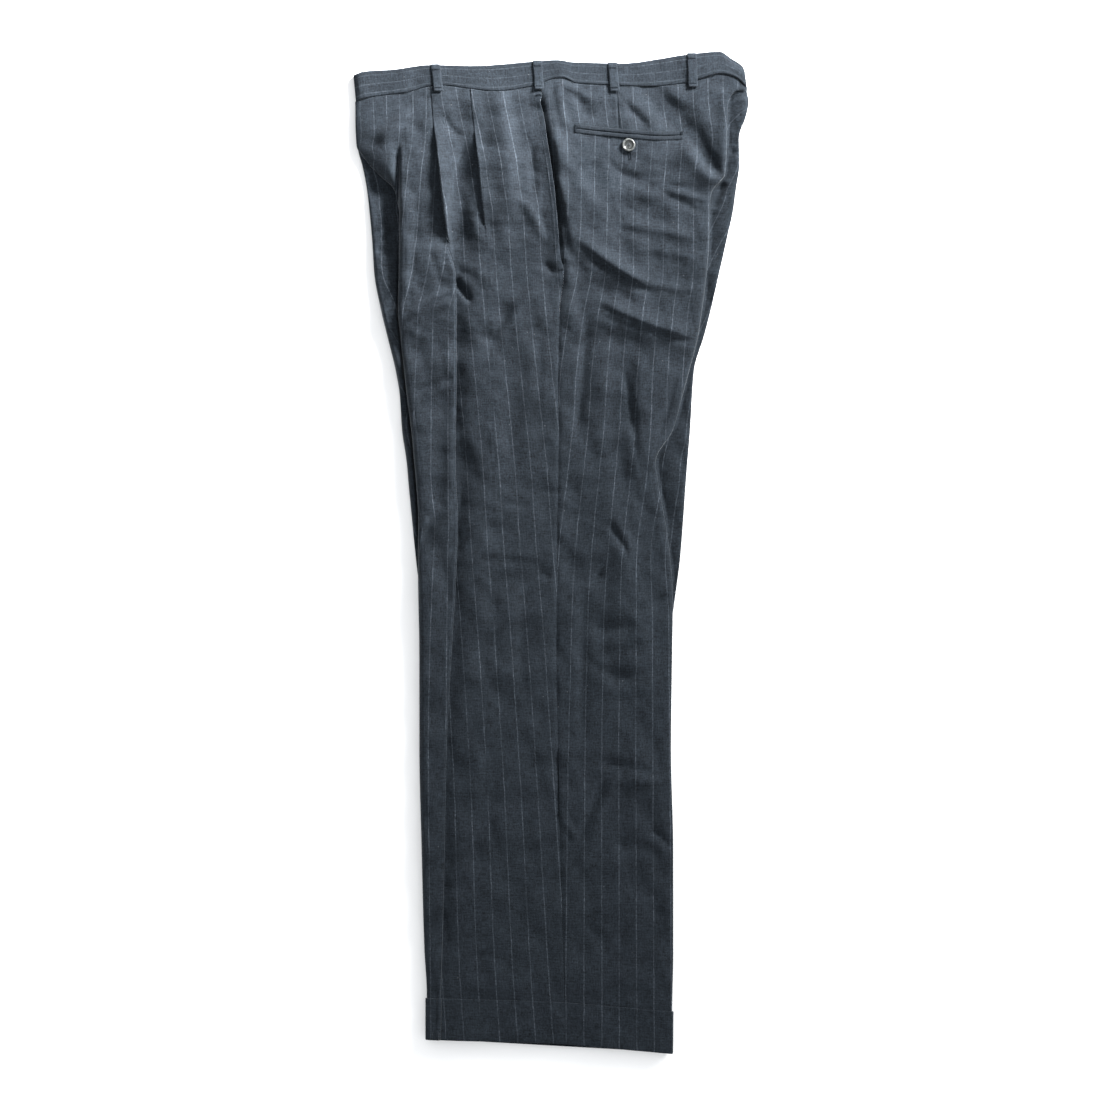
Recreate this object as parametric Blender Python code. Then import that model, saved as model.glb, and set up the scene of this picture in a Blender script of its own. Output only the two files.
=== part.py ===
"""Pleated dress trousers, laid flat on their right side.

The wearer's left leg lies on the right leg, the waist points to +Y, the front to -X and the back to +X.
Every cloth piece is a closed wall. A leg panel starts at the side seam, runs out to its fold, turns over
and runs back on the leg's inner side to the crotch seam and the inseam, so each leg is a flattened tube.
Lengths in the tables are millimetres; the origin is the middle of the plan, on the surface it lies on.
"""
import math
from collections import namedtuple

import bmesh
import bpy
from mathutils.bvhtree import BVHTree

MM = 0.001

# Driving dimensions (mm).
WALL = 1.2                 # cloth of a panel
BAND_WALL = 2.6            # interlined waistband
BAND_NOSE = 5.5            # top of the waistband at its two rounded ends
BAND_SPLIT = 4.3           # height between its left and right half there
BAND_SPACING = 4.0         # least distance between its points
SEAM_GAP = 0.3             # between neighbouring pieces
HOLLOW = 0.8               # inside a flattened leg
WAIST_Y = 499.7            # nominal height of the waist seam
HEM_Y = -532.8             # nominal height of the turned hem
TURN_UP_HEIGHT = 45.3
WAIST_BLEND_Y = 405.0      # rows above this one bend with the waist seam
HEM_BLEND_Y = -380.0       # rows below this one slope with the hem,
HEM_BLEND_RUN = 125.0      # fully this far below it
PLEAT_ARC = 2.2            # length of cloth in one turn of a pleat
POCKET_LAP = 9.0           # the left back runs this far under the front's pocket edge
POCKET_HIGH = 487.0        # upper and lower end of the side pocket's mouth
POCKET_LOW = 303.0
TURN_BACK = 4.0            # a turned fold begins to lie flat this far inside it
SETTLE_RUN = 45.0          # and the layers under it have settled this far inside it
EDGE_STUB = 1.2            # last straight part of a section that ends edge to edge
MEETING_HEIGHT = 4.2       # where the two sides' edges meet along the outline, at most
CROTCH_Y = 235.1
LOOP_WIDTH = 10.0
LOOP_WALL = 1.3
LOOP_LIFT = 0.35           # under side of a belt loop above what it lies on
WELT_WIDTH = 4.2
WELT_WALL = 0.9
POCKET_SLIT = 0.9
BUTTON_RADIUS = 7.1
BUTTON_THICKNESS = 2.6
BUTTON_X, BUTTON_Y = 84.0, 439.3

# Plan of the garment, one row for each section across it. Columns are x of: the right (lower) leg's front
# fold, the left (upper) leg's front fold, the first pleat and front crease, the second pleat, the side
# seam, the left leg's back fold and the right leg's back fold.
Section = namedtuple("Section", "y low_front up_front crease pleat side up_back low_back")
SECTIONS = (
    Section(499.7, -211.2, -162.0, -129.9, -86.6, -10.6, 191.0, 212.2),
    Section(485.7, -210.7, -162.5, -128.3, -85.5, -9.8, 191.4, 213.6),
    Section(465.2, -210.0, -163.0, -126.8, -83.2, -4.9, 190.1, 209.9),
    Section(443.6, -209.6, -163.2, -123.6, -80.6, -1.6, 189.4, 203.3),
    Section(418.7, -203.6, -163.2, -120.3, -77.5, 2.7, 188.5, 203.6),
    Section(393.9, -198.8, -162.9, -117.9, -75.2, 6.2, 184.4, 200.2),
    Section(370.1, -196.0, -162.9, -115.1, -72.7, 8.6, 176.8, 197.0),
    Section(337.7, -193.0, -162.9, -110.2, -68.9, 11.2, 172.3, 189.9),
    Section(299.9, -190.5, -163.4, -101.4, -65.7, 14.0, 168.5, 181.4),
    Section(262.1, -183.4, -164.2, -101.0, -64.0, 9.7, 162.9, 172.8),
    Section(235.1, -176.9, -161.8, -101.3, -63.5, 8.9, 159.0, 165.8),
    Section(197.3, -167.7, -157.8, -101.4, -62.5, 8.2, 149.0, 154.7),
    Section(169.2, -163.0, -154.7, -101.5, -62.0, 7.8, 141.4, 152.5),
    Section(132.5, -160.7, -149.9, -102.0, -61.5, 8.9, 131.1, 150.4),
    Section(98.0, -155.7, -146.7, -102.3, -61.0, 8.6, 110.5, 147.5),
    Section(74.2, -153.6, -144.5, -101.6, -60.5, 8.0, 116.4, 145.7),
    Section(35.3, -149.9, -142.3, -99.6, -60.0, 7.2, 124.1, 143.0),
    Section(-7.9, -145.6, -142.8, -100.7, -60.3, 6.5, 128.7, 139.5),
    Section(-51.1, -140.6, -142.3, -102.6, -61.0, 6.4, 131.2, 133.9),
    Section(-105.1, -138.0, -141.3, -105.6, -63.0, 6.2, 130.4, 127.0),
    Section(-213.1, -137.5, -141.2, -110.5, -67.0, 8.0, 129.1, 125.5),
    Section(-321.1, -135.2, -138.8, -112.3, -70.0, 10.3, 131.5, 127.7),
    Section(-429.1, -132.1, -135.9, -114.5, -72.0, 13.5, 131.5, 128.2),
    Section(-483.1, -130.5, -133.2, -115.8, -73.0, 15.0, 130.2, 127.7),
    Section(-540.0, -130.5, -133.2, -117.0, -74.0, 15.9, 129.6, 127.0),
)

# Heights of the stack, one row for each section (mm above the surface): the underside of the right leg,
# the right leg's own thickness where it is covered, the strips of it that show at the front and at the
# back, the underside of the left leg above the right one, and the top of the left leg.
Stack = namedtuple("Stack", "y under covered front_strip back_strip lift top")
STACKS = (
    Stack(499.7, 0.0, 3.2, 3.4, 3.6, 0.3, 5.9),
    Stack(480.0, 0.0, 3.2, 4.0, 5.0, 0.3, 8.2),
    Stack(443.6, 0.0, 3.2, 4.6, 6.4, 0.3, 11.0),
    Stack(393.9, 0.0, 3.2, 4.4, 6.8, 0.3, 13.0),
    Stack(320.0, 0.0, 3.2, 6.0, 6.8, 0.3, 13.2),
    Stack(235.1, 0.0, 3.2, 6.4, 6.6, 0.3, 12.6),
    Stack(132.5, 0.0, 3.2, 5.0, 6.0, 0.3, 10.8),
    Stack(35.3, 0.0, 3.2, 4.2, 5.0, 0.3, 9.4),
    Stack(-51.1, 0.0, 3.2, 3.2, 3.4, 0.3, 8.6),
    Stack(-250.0, 0.0, 3.2, 3.2, 3.2, 0.3, 8.0),
    Stack(-429.1, 0.0, 3.2, 3.2, 3.2, 0.3, 8.2),
    Stack(-478.0, 1.5, 3.0, 3.0, 3.0, 3.3, 10.9),
    Stack(-540.0, 1.5, 3.0, 3.0, 3.0, 3.3, 10.9),
)

# The pressed folds of the left front: turn of the cloth in degrees and its flat run, for the first pleat,
# which passes into the front crease, and for the second pleat. A turn of 180 is a closed pleat, and a
# negative turn raises the cloth in front of the crease.
Pleats = namedtuple("Pleats", "y first_turn first_run second_turn second_run")
PLEATS = (
    Pleats(499.7, 180, 14, 180, 11),
    Pleats(463.0, 180, 12, 180, 9),
    Pleats(430.0, 176, 9, 168, 5),
    Pleats(393.9, 160, 6, 125, 2),
    Pleats(360.0, 110, 2, 60, 1),
    Pleats(337.7, 35, 1, 12, 1),
    Pleats(318.0, -20, 1, 0, 1),
    Pleats(299.9, -70, 2, 0, 1),
    Pleats(235.1, -72, 2, 0, 1),
    Pleats(35.3, -66, 2, 0, 1),
    Pleats(-213.1, -48, 1, 0, 1),
    Pleats(-429.1, -34, 1, 0, 1),
    Pleats(-540.0, -20, 1, 0, 1),
)

# Where the left panels pass their fold line. reach: how far the turned part first runs beyond the fold
# line (negative is back under the leg); heading: its direction there, 0 outward, 90 down, 180 back under;
# lap: 0 where it meets the lower panel edge to edge at the outline, 1 where it lies on the lower panel.
Turn = namedtuple("Turn", "y reach heading pull_out pull_in lap")
FRONT_TURNS = (
    Turn(499.7, 48.4, 90, 44.0, 2.0, 0.0),
    Turn(443.6, 45.8, 90, 40.0, 3.0, 0.0),
    Turn(431.0, 40.0, 62, 30.0, 5.0, 0.7),
    Turn(418.7, 32.0, 50, 22.0, 7.0, 1.0),
    Turn(405.0, 19.0, 65, 13.0, 6.0, 1.0),
    Turn(393.9, 7.0, 88, 8.0, 4.0, 1.0),
    Turn(380.0, 0.5, 130, 7.0, 5.0, 1.0),
    Turn(366.0, -4.0, 180, 7.6, 5.6, 1.0),
    Turn(-540.0, -4.0, 180, 7.6, 5.6, 1.0),
)
BACK_TURNS = (
    Turn(499.7, 20.6, 90, 14.0, 2.0, 0.0),
    Turn(493.0, 17.0, 80, 13.0, 3.0, 0.5),
    Turn(486.0, 8.0, 95, 9.0, 4.0, 1.0),
    Turn(478.0, -1.0, 150, 7.6, 5.0, 1.0),
    Turn(470.0, -4.0, 180, 7.6, 5.6, 1.0),
    Turn(-540.0, -4.0, 180, 7.6, 5.6, 1.0),
)

# Edges hidden between the legs: x of the centre-front and centre-back seams down to the crotch, and of the
# inseam from there to the hem.
Rise = namedtuple("Rise", "y front back")
RISES = (
    Rise(499.7, -212.0, 212.0),
    Rise(465.2, -208.0, 184.0),
    Rise(418.7, -193.0, 174.0),
    Rise(393.9, -168.0, 163.0),
    Rise(370.1, -155.0, 150.0),
    Rise(337.7, -143.0, 128.0),
    Rise(299.9, -119.0, 88.0),
    Rise(262.1, -86.0, 14.0),
    Rise(CROTCH_Y, -55.0, -55.0),
)
Inseam = namedtuple("Inseam", "y x")
INSEAM = (
    Inseam(CROTCH_Y, -55.0),
    Inseam(197.3, -44.0),
    Inseam(132.5, -33.0),
    Inseam(35.3, -22.0),
    Inseam(-105.1, -14.0),
    Inseam(-321.1, -6.0),
    Inseam(-540.0, -3.0),
)

# The waistband's seam and top edge in plan; the seam is given from the nominal waist height.
Edge = namedtuple("Edge", "x rise")
WAIST_SEAM = (
    Edge(-210.7, -13.0), Edge(-198.7, -9.3), Edge(-180.6, -6.8), Edge(-157.5, -4.0), Edge(-130.1, 3.0),
    Edge(-116.1, 3.9), Edge(-89.4, 0.6), Edge(-61.8, -2.4), Edge(-21.4, 2.8), Edge(6.0, 11.6),
    Edge(13.9, 12.0), Edge(26.7, 6.5), Edge(56.7, 4.5), Edge(101.1, 3.0), Edge(145.5, 6.5),
    Edge(164.4, 12.0), Edge(183.5, 16.7), Edge(199.4, 12.9), Edge(212.5, 1.7),
)
BAND_TOP = (
    Edge(-213.2, 515.4), Edge(-201.2, 519.2), Edge(-169.8, 521.3), Edge(-130.5, 526.2),
    Edge(-84.0, 525.2), Edge(-21.4, 529.7), Edge(6.0, 531.6), Edge(25.1, 529.2), Edge(79.1, 528.0),
    Edge(120.1, 533.2), Edge(144.9, 537.3), Edge(182.2, 540.5), Edge(195.7, 532.7), Edge(207.0, 524.8),
    Edge(212.5, 509.0),
)
HEM_SLOPE = (Edge(-134.8, 7.6), Edge(7.8, 3.2), Edge(33.7, 1.1), Edge(130.7, -7.7))

# Belt loops on the left side: where each is sewn to the band, and how far it leans for each mm of height.
Loop = namedtuple("Loop", "x lean")
LOOPS = (Loop(-124.6, 0.13), Loop(-14.6, 0.075), Loop(66.4, 0.095), Loop(152.0, 0.045))

# The largest folds on the left side's face: a ridge (or, with a negative rise, a trough) from one end to
# the other, bowed sideways by bow, fading over soft_left and soft_right of its line.
Fold = namedtuple("Fold", "name x0 y0 x1 y1 bow rise soft_left soft_right")
FOLDS = (
    Fold("seat_trough", 112, 503, 184, 410, 3, -5.4, 11, 13),
    Fold("seat_tuck_ridge", 150, 458, 188, 402, -9, 3.6, 9, 9),
    Fold("hip_ridge", 3, 452, 50, 380, -4, 3.2, 10, 11),
    Fold("under_pocket_trough", 66, 414, 112, 396, 2, -3.0, 9, 11),
    Fold("thigh_ridge_high", 34, 331, 108, 288, -3, 5.0, 20, 10),
    Fold("thigh_ridge_low", 52, 265, 154, 234, -2, 5.2, 20, 10),
    Fold("thigh_trough", 40, 246, 140, 214, 0, -2.4, 12, 14),
    Fold("front_hip_ridge", -184, 441, -152, 478, 3, 1.8, 10, 10),
    Fold("fork_notch", -161, 446, -161, 396, 0, -2.6, 7, 7),
    Fold("crease_trough", -88, 318, -90, -120, 0, -2.0, 12, 14),
    Fold("pleat_trough", -96, 470, -84, 330, 2, -1.8, 12, 10),
    Fold("front_thigh_trough", -52, 300, -30, 40, 4, -1.8, 16, 16),
    Fold("knee_ridge", 60, 100, 100, -150, 6, 1.8, 16, 18),
    Fold("back_shin_ridge", 78, -210, 112, -250, 2, 1.6, 14, 14),
)

# Rows of every panel: nominal y from, to, and how many.
ZONES = ((499.7, 388.0, 10), (388.0, 235.0, 9), (235.0, 74.0, 5), (74.0, -60.0, 3), (-60.0, -430.0, 4),
         (-430.0, -480.0, 2))


def eased(t):
    t = min(1.0, max(0.0, t))
    return t * t * (3.0 - 2.0 * t)


def mix(a, b, t):
    return a + (b - a) * t


def lookup(rows, column, at, key="y"):
    """Value of one column of a table at a place between its rows, on a smooth curve with no overshoot."""
    points = sorted((getattr(row, key), getattr(row, column)) for row in rows)
    if at <= points[0][0]:
        return points[0][1]
    if at >= points[-1][0]:
        return points[-1][1]
    slopes = [(b[1] - a[1]) / (b[0] - a[0]) for a, b in zip(points, points[1:])]
    tangents = [slopes[0]] + [0.0 if a * b <= 0 else 2.0 * a * b / (a + b)
                              for a, b in zip(slopes, slopes[1:])] + [slopes[-1]]
    for i, (a, b) in enumerate(zip(points, points[1:])):
        if at <= b[0]:
            span = b[0] - a[0]
            t = (at - a[0]) / span
            return ((1 + 2 * t) * (1 - t) ** 2 * a[1] + t * (1 - t) ** 2 * span * tangents[i]
                    + t * t * (3 - 2 * t) * b[1] + t * t * (t - 1) * span * tangents[i + 1])


def row_heights(zones, last):
    """Nominal y of each row of a panel, evenly spaced within each zone."""
    rows = [zones[0][0]]
    for start, end, steps in zones:
        rows += [start + (end - start) * (i + 1) / steps for i in range(steps)]
    return rows + [last]


def plan_y(x, y):
    """Bend a nominal row near the waist with the waist seam, and near the hem with its slope."""
    at_waist = eased((y - WAIST_BLEND_Y) / (WAIST_Y - WAIST_BLEND_Y))
    at_hem = eased((HEM_BLEND_Y - y) / HEM_BLEND_RUN)
    return y + at_waist * lookup(WAIST_SEAM, "rise", x, "x") + at_hem * lookup(HEM_SLOPE, "rise", x, "x")


def fold_relief(x, y):
    """Sum of the folds at a point of the face."""
    total = 0.0
    for fold in FOLDS:
        along_x, along_y = fold.x1 - fold.x0, fold.y1 - fold.y0
        length = math.hypot(along_x, along_y)
        t = ((x - fold.x0) * along_x + (y - fold.y0) * along_y) / length ** 2
        if not -0.15 < t < 1.15:
            continue
        away = (along_x * (y - fold.y0) - along_y * (x - fold.x0)) / length
        away -= fold.bow * 4.0 * t * (1.0 - t)
        soft = fold.soft_left if away > 0 else fold.soft_right
        ends = eased((t + 0.15) / 0.35) * eased((1.15 - t) / 0.35)
        total += fold.rise * ends * math.exp(-(away / soft) ** 2)
    return total


def fold_x(side, y):
    """The left leg's fold line, at the front for side -1 and at the back for side 1."""
    return lookup(SECTIONS, "up_front" if side < 0 else "up_back", y)


def hidden_edge(side, y):
    """The far edge of a panel between the legs: the seam down to the crotch, then the inseam."""
    if y < CROTCH_Y:
        return lookup(INSEAM, "x", y)
    return lookup(RISES, "front" if side < 0 else "back", y)


def lower_top(x, y, side):
    """Height of the right leg's upper face: its showing strip, settling where the left leg covers it."""
    strip = lookup(STACKS, "front_strip" if side < 0 else "back_strip", y)
    inside = (fold_x(side, y) - x) * side
    settled = min(1.0, max(0.0, (inside - TURN_BACK) / (SETTLE_RUN - TURN_BACK)))
    return lookup(STACKS, "under", y) + mix(strip, lookup(STACKS, "covered", y), settled)


def upper_under(x, y, side):
    """Height of the left leg's underside, which lies on the right leg."""
    return lower_top(x, y, side) + lookup(STACKS, "lift", y)


def turned_row(turns, y):
    """The turning of a left panel at one row, with every column interpolated."""
    return Turn(y, *(lookup(turns, name, y) for name in Turn._fields[1:]))


def bezier(start, start_dir, pull_out, end, end_dir, pull_in, steps):
    a = (start[0] + start_dir[0] * pull_out, start[1] + start_dir[1] * pull_out)
    b = (end[0] - end_dir[0] * pull_in, end[1] - end_dir[1] * pull_in)
    points = []
    for i in range(1, steps + 1):
        t = i / steps
        w = ((1 - t) ** 3, 3 * t * (1 - t) ** 2, 3 * t * t * (1 - t), t ** 3)
        points.append(tuple(w[0] * start[k] + w[1] * a[k] + w[2] * b[k] + w[3] * end[k] for k in (0, 1)))
    return points


def heading_vector(degrees):
    """Outward and upward parts of a heading that turns from outward, through down, to back under."""
    return math.cos(math.radians(degrees)), -math.sin(math.radians(degrees))


def pleat_points(start, turn, run, steps=2):
    """Cloth that turns down by an angle, runs flat and turns back: a closed pleat at 180 degrees."""
    points = [start]
    lengths_and_headings = [(PLEAT_ARC / steps, turn * (i + 0.5) / steps) for i in range(steps)]
    lengths_and_headings.append((run, turn))
    lengths_and_headings += [(PLEAT_ARC / steps, turn * (steps - i - 0.5) / steps) for i in range(steps)]
    for length, degrees in lengths_and_headings:
        out, up = heading_vector(degrees)
        points.append((points[-1][0] + out * length, points[-1][1] + up * length))
    return points


def pleat_drop(turn, run):
    return -pleat_points((0.0, 0.0), turn, run)[-1][1]


def face_height(x, y, folds_passed=0):
    """Middle of the left side's face, with the layers of the pleats that lie on this side of each fold."""
    z = lookup(STACKS, "top", y) - WALL / 2 + fold_relief(x, y)
    for number, (line, turn, run, spread) in enumerate((
            ("pleat", "second_turn", "second_run", 26.0), ("crease", "first_turn", "first_run", 34.0))):
        drop = pleat_drop(lookup(PLEATS, turn, y), lookup(PLEATS, run, y))
        beyond = folds_passed > number
        distance = abs(x - lookup(SECTIONS, line, y))
        if drop > 0 and not beyond:
            z += drop * math.exp(-distance / spread)
        if drop < 0 and beyond:
            z -= drop * math.exp(-distance / spread)
    return z


def pocket_lap(y, margin=0.0):
    """1 along the side pocket's mouth and 0 beyond its ends, or beyond a margin past them."""
    return eased((y - POCKET_LOW + margin) / 15.0) * eased((POCKET_HIGH - y + margin * 0.6) / 8.0)


def rounded_edge(height, lowest, inside):
    """Let the face roll down to its fold over the last stretch inside it."""
    return mix(height, max(lowest, height - 3.0), eased(1.0 - inside / 16.0) ** 2)


def meeting_height(y):
    """Where the left and right side's edges meet along the outline."""
    return min(MEETING_HEIGHT, lookup(STACKS, "top", y) * 0.5)


def section_end(side, y, end, heading, laid, height_at):
    """Last points of a section: a short straight stub where it ends edge to edge, or (laid, up to 1) the
    hidden layer, bent at the same places in both legs so that they nest."""
    fold_out = side * fold_x(side, y)
    far = min(side * hidden_edge(side, y) + SEAM_GAP / 2, end[0] - EDGE_STUB)
    step = EDGE_STUB / 3
    points = []
    for i, station in enumerate((fold_out - TURN_BACK, fold_out - SETTLE_RUN, far), 1):
        stub = (end[0] + heading[0] * step * i, end[1] + heading[1] * step * i)
        out = min(max(station, far + step * (3 - i)), end[0] - step * i)
        points.append((mix(stub[0], out, laid), mix(stub[1], height_at(side * out), laid)))
    return points


def upper_path(side, y):
    """Middle line of a left panel's section, as (outward, z), from the side seam to its far edge."""
    fold_out = side * fold_x(side, y)
    seam_x = lookup(SECTIONS, "side", y)
    turn = turned_row(FRONT_TURNS if side < 0 else BACK_TURNS, y)
    knee = fold_out - 6.0
    lowest = upper_under(side * fold_out, y, side) + 2 * WALL + HOLLOW - WALL / 2

    def face(out, folds_passed):
        x = side * out
        height = face_height(x, y, folds_passed if side < 0 else 0)
        if side < 0:
            inside_lap = max(0.0, seam_x - x - POCKET_LAP - 1.0)
            height += (WALL + 2 * SEAM_GAP) * pocket_lap(y, 20.0) * math.exp(-inside_lap / 12.0)
        return rounded_edge(max(height, lowest), lowest, fold_out - out)

    if side < 0:
        start = -seam_x + SEAM_GAP / 2
        points = [(start, face(start, 0)), (start + POCKET_LAP + 1.5, face(start + POCKET_LAP + 1.5, 0))]
        for number, (line, turn_name, run_name, steps) in enumerate((
                ("pleat", "second_turn", "second_run", 3), ("crease", "first_turn", "first_run", 2))):
            line_out = -lookup(SECTIONS, line, y) - PLEAT_ARC / 3
            begin = points[-1][0]
            for i in range(1, steps + 1):
                out = begin + (line_out - begin) * i / steps
                points.append((out, face(out, number)))
            bend = pleat_points(points[-1], lookup(PLEATS, turn_name, y), lookup(PLEATS, run_name, y))
            points += bend[1:]
        begin, steps, passed = points[-1][0], 3, 2
    else:
        start = seam_x + SEAM_GAP / 2 - (POCKET_LAP + SEAM_GAP / 2) * pocket_lap(y)
        points = [(start, face(start, 0))]
        begin, steps, passed = start, 13, 0
    for i in range(1, steps + 1):
        out = begin + (knee - begin) * i / steps
        points.append((out, face(out, passed)))

    def laid_height(x):
        return upper_under(x, y, side) + WALL / 2

    under = eased((turn.heading - 120.0) / 60.0)
    end_out = fold_out + turn.reach
    heading = heading_vector(turn.heading)
    end_z = mix(meeting_height(y) + SEAM_GAP / 2, laid_height(side * end_out), min(1.0, turn.lap * 2.5))
    short = EDGE_STUB * (1.0 - under)
    end = (end_out - heading[0] * short, end_z - heading[1] * short)
    points += bezier(points[-1], (1.0, 0.0), turn.pull_out, end, heading, turn.pull_in, 5)
    return points + section_end(side, y, end, heading, under, laid_height)


def lower_path(side, y):
    """Middle line of a right panel's section, from its side seam on the surface to its far edge."""
    lap = turned_row(FRONT_TURNS if side < 0 else BACK_TURNS, y).lap
    outline = side * lookup(SECTIONS, "low_front" if side < 0 else "low_back", y) - WALL / 2
    seam_out = side * lookup(SECTIONS, "side", y) + SEAM_GAP / 2
    knee = outline - 6.0
    points = [(mix(seam_out, knee, i / 4), lookup(STACKS, "under", y) + WALL / 2) for i in range(5)]

    def laid_height(x):
        return lower_top(x, y, side) - WALL / 2

    end = (outline - TURN_BACK * lap,
           mix(meeting_height(y) - SEAM_GAP / 2 - EDGE_STUB, laid_height(side * (outline - TURN_BACK)), lap))
    heading = (math.cos(math.radians(90.0 + 90.0 * lap)), math.sin(math.radians(90.0 + 90.0 * lap)))
    points += bezier(points[-1], (1.0, 0.0), mix(4.0, 7.6, lap), end, heading, mix(1.2, 5.6, lap), 5)
    return points + section_end(side, y, end, heading, lap, laid_height)


def offset(points, distance):
    """The line moved to its left by a distance, square to it, with mitred corners."""
    moved = []
    for i, (u, v) in enumerate(points):
        before = points[max(0, i - 1)]
        after = points[min(len(points) - 1, i + 1)]
        normals = []
        for a, b in ((before, (u, v)), ((u, v), after)):
            length = math.hypot(b[0] - a[0], b[1] - a[1])
            if length > 1e-9:
                normals.append(((a[1] - b[1]) / length, (b[0] - a[0]) / length))
        nu = sum(n[0] for n in normals) / len(normals)
        nv = sum(n[1] for n in normals) / len(normals)
        size = max(0.7, nu * nu + nv * nv)
        moved.append((u + nu / size * distance, v + nv / size * distance))
    return moved


def material(name, colour, roughness, metallic=0.0):
    made = bpy.data.materials.new(name)
    made.use_nodes = True
    shader = made.node_tree.nodes["Principled BSDF"]
    shader.inputs["Base Color"].default_value = (*colour, 1.0)
    shader.inputs["Roughness"].default_value = roughness
    shader.inputs["Metallic"].default_value = metallic
    return made


def add_object(name, mesh_builder, made_of):
    bmesh.ops.recalc_face_normals(mesh_builder, faces=mesh_builder.faces)
    mesh = bpy.data.meshes.new(name)
    mesh_builder.to_mesh(mesh)
    mesh_builder.free()
    mesh.materials.append(made_of)
    mesh.shade_smooth()
    mesh.set_sharp_from_angle(angle=math.radians(40))
    piece = bpy.data.objects.new(name, mesh)
    bpy.context.collection.objects.link(piece)
    return piece


def wall_between(name, outer, inner, made_of):
    """Close two skins of a panel, each a list of rows of points in millimetres, into one wall."""
    builder = bmesh.new()
    skins = [[[builder.verts.new([c * MM for c in point]) for point in row] for row in skin]
             for skin in (outer, inner)]
    rows, columns = len(outer), len(outer[0])
    for skin in skins:
        for i in range(rows - 1):
            for j in range(columns - 1):
                builder.faces.new((skin[i][j], skin[i][j + 1], skin[i + 1][j + 1], skin[i + 1][j]))
    border = [(0, j) for j in range(columns)] + [(i, columns - 1) for i in range(1, rows)]
    border += [(rows - 1, j) for j in range(columns - 2, -1, -1)] + [(i, 0) for i in range(rows - 2, 0, -1)]
    for (i, j), (k, m) in zip(border, border[1:] + border[:1]):
        builder.faces.new((skins[0][i][j], skins[0][k][m], skins[1][k][m], skins[1][i][j]))
    return add_object(name, builder, made_of)


def panel(name, path, side, rows, made_of):
    """A leg panel: its section's middle line at each row, thickened to both sides."""
    outer, inner = [], []
    for y in rows:
        middle = path(side, y)
        for skin, distance in ((outer, WALL / 2), (inner, -WALL / 2)):
            skin.append([(side * out, plan_y(side * out, y), z) for out, z in offset(middle, distance)])
    return wall_between(name, outer, inner, made_of)


def leg_loop(path, y):
    """The section of one leg all the way round, as (x, z), from the inseam over the front to the back."""
    front = [(-out, z) for out, z in path(-1, y)]
    back = [(out, z) for out, z in path(1, y)]
    return front[::-1][1:-1] + back[1:-1]


def turn_up(name, path, made_of, faces_up):
    """The hem turned up outside the leg: a wall round it, joined to the leg's end by its turned edge."""
    top_y, leg_end, bottom_y = HEM_Y + TURN_UP_HEIGHT, HEM_Y + WALL + SEAM_GAP, HEM_Y
    outside = WALL / 2 + SEAM_GAP + WALL
    profile = ((top_y, outside), (bottom_y + 0.6, outside), (bottom_y, outside - 0.6),
               (bottom_y, 0.2 - WALL / 2), (leg_end - SEAM_GAP, -WALL / 2),
               (leg_end - SEAM_GAP, WALL / 2 + SEAM_GAP), (top_y, WALL / 2 + SEAM_GAP))
    builder = bmesh.new()
    rings = []
    for y, distance in profile:
        loop = leg_loop(path, y)
        closed = [loop[-1]] + loop + [loop[0]]
        moved = offset(closed, distance if faces_up else -distance)[1:-1]
        rings.append([builder.verts.new((x * MM, plan_y(x, y) * MM, z * MM)) for x, z in moved])
    for a, b in zip(rings, rings[1:] + rings[:1]):
        for i in range(len(a)):
            k = (i + 1) % len(a)
            builder.faces.new((a[i], a[k], b[k], b[i]))
    return add_object(name, builder, made_of)


def band_height(x, y):
    """Top of the left waistband: level, raised over the pleats, rolling down at its two ends."""
    height = 8.5 + 0.7 * math.exp(-((x + 108.0) / 45.0) ** 2) + 0.8 * math.exp(-((x - 170.0) / 25.0) ** 2)
    from_front = x - mix(-211.0, -213.2, (y - 486.7) / 28.7)
    from_back = 212.5 - x
    if x > 175.0:
        from_back = min(from_back, (lookup(BAND_TOP, "rise", x, "x") - y) * 0.75
                        + max(0.0, 190.0 - x))
    return mix(BAND_NOSE, height, math.sqrt(eased(min(from_front, from_back) / 7.0)))


def seam_stations(path):
    """Where the panels' upper edges have their points, from front to back, no closer than the spacing."""
    edge = sorted([-out for out, _ in path(-1, WAIST_Y)] + [out for out, _ in path(1, WAIST_Y)])
    stations = [edge[0]]
    for x in edge[1:]:
        if x - stations[-1] >= BAND_SPACING:
            stations.append(x)
    stations[-1] = edge[-1]
    return stations


def waistband(name, path, made_of):
    """One half of the waistband, on the panels whose path is given, from front closure to centre back."""
    rows = 3
    seam = seam_stations(path)
    outer, inner = [], []
    for i in range(rows + 1):
        t = i / rows
        outer_row, inner_row = [], []
        for low_x in seam:
            along = (low_x - seam[0]) / (seam[-1] - seam[0])
            x = mix(low_x, mix(-213.2, 209.5, along), t)
            y = mix(plan_y(low_x, WAIST_Y) + SEAM_GAP, lookup(BAND_TOP, "rise", x, "x"), t)
            top = band_height(x, y)
            if path is upper_path:
                outer_row.append((x, y, top))
                inner_row.append((x, y, max(top - BAND_WALL, BAND_SPLIT + SEAM_GAP / 2)))
            else:
                end_rise = max(0.0, 1.0 - (top - BAND_NOSE) / 3.0)
                outer_row.append((x, y, 1.4 * end_rise ** 2))
                inner_row.append((x, y, mix(BAND_WALL, BAND_SPLIT - SEAM_GAP / 2, end_rise)))
        outer.append(outer_row)
        inner.append(inner_row)
    return wall_between(name, outer, inner, made_of)


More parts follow.
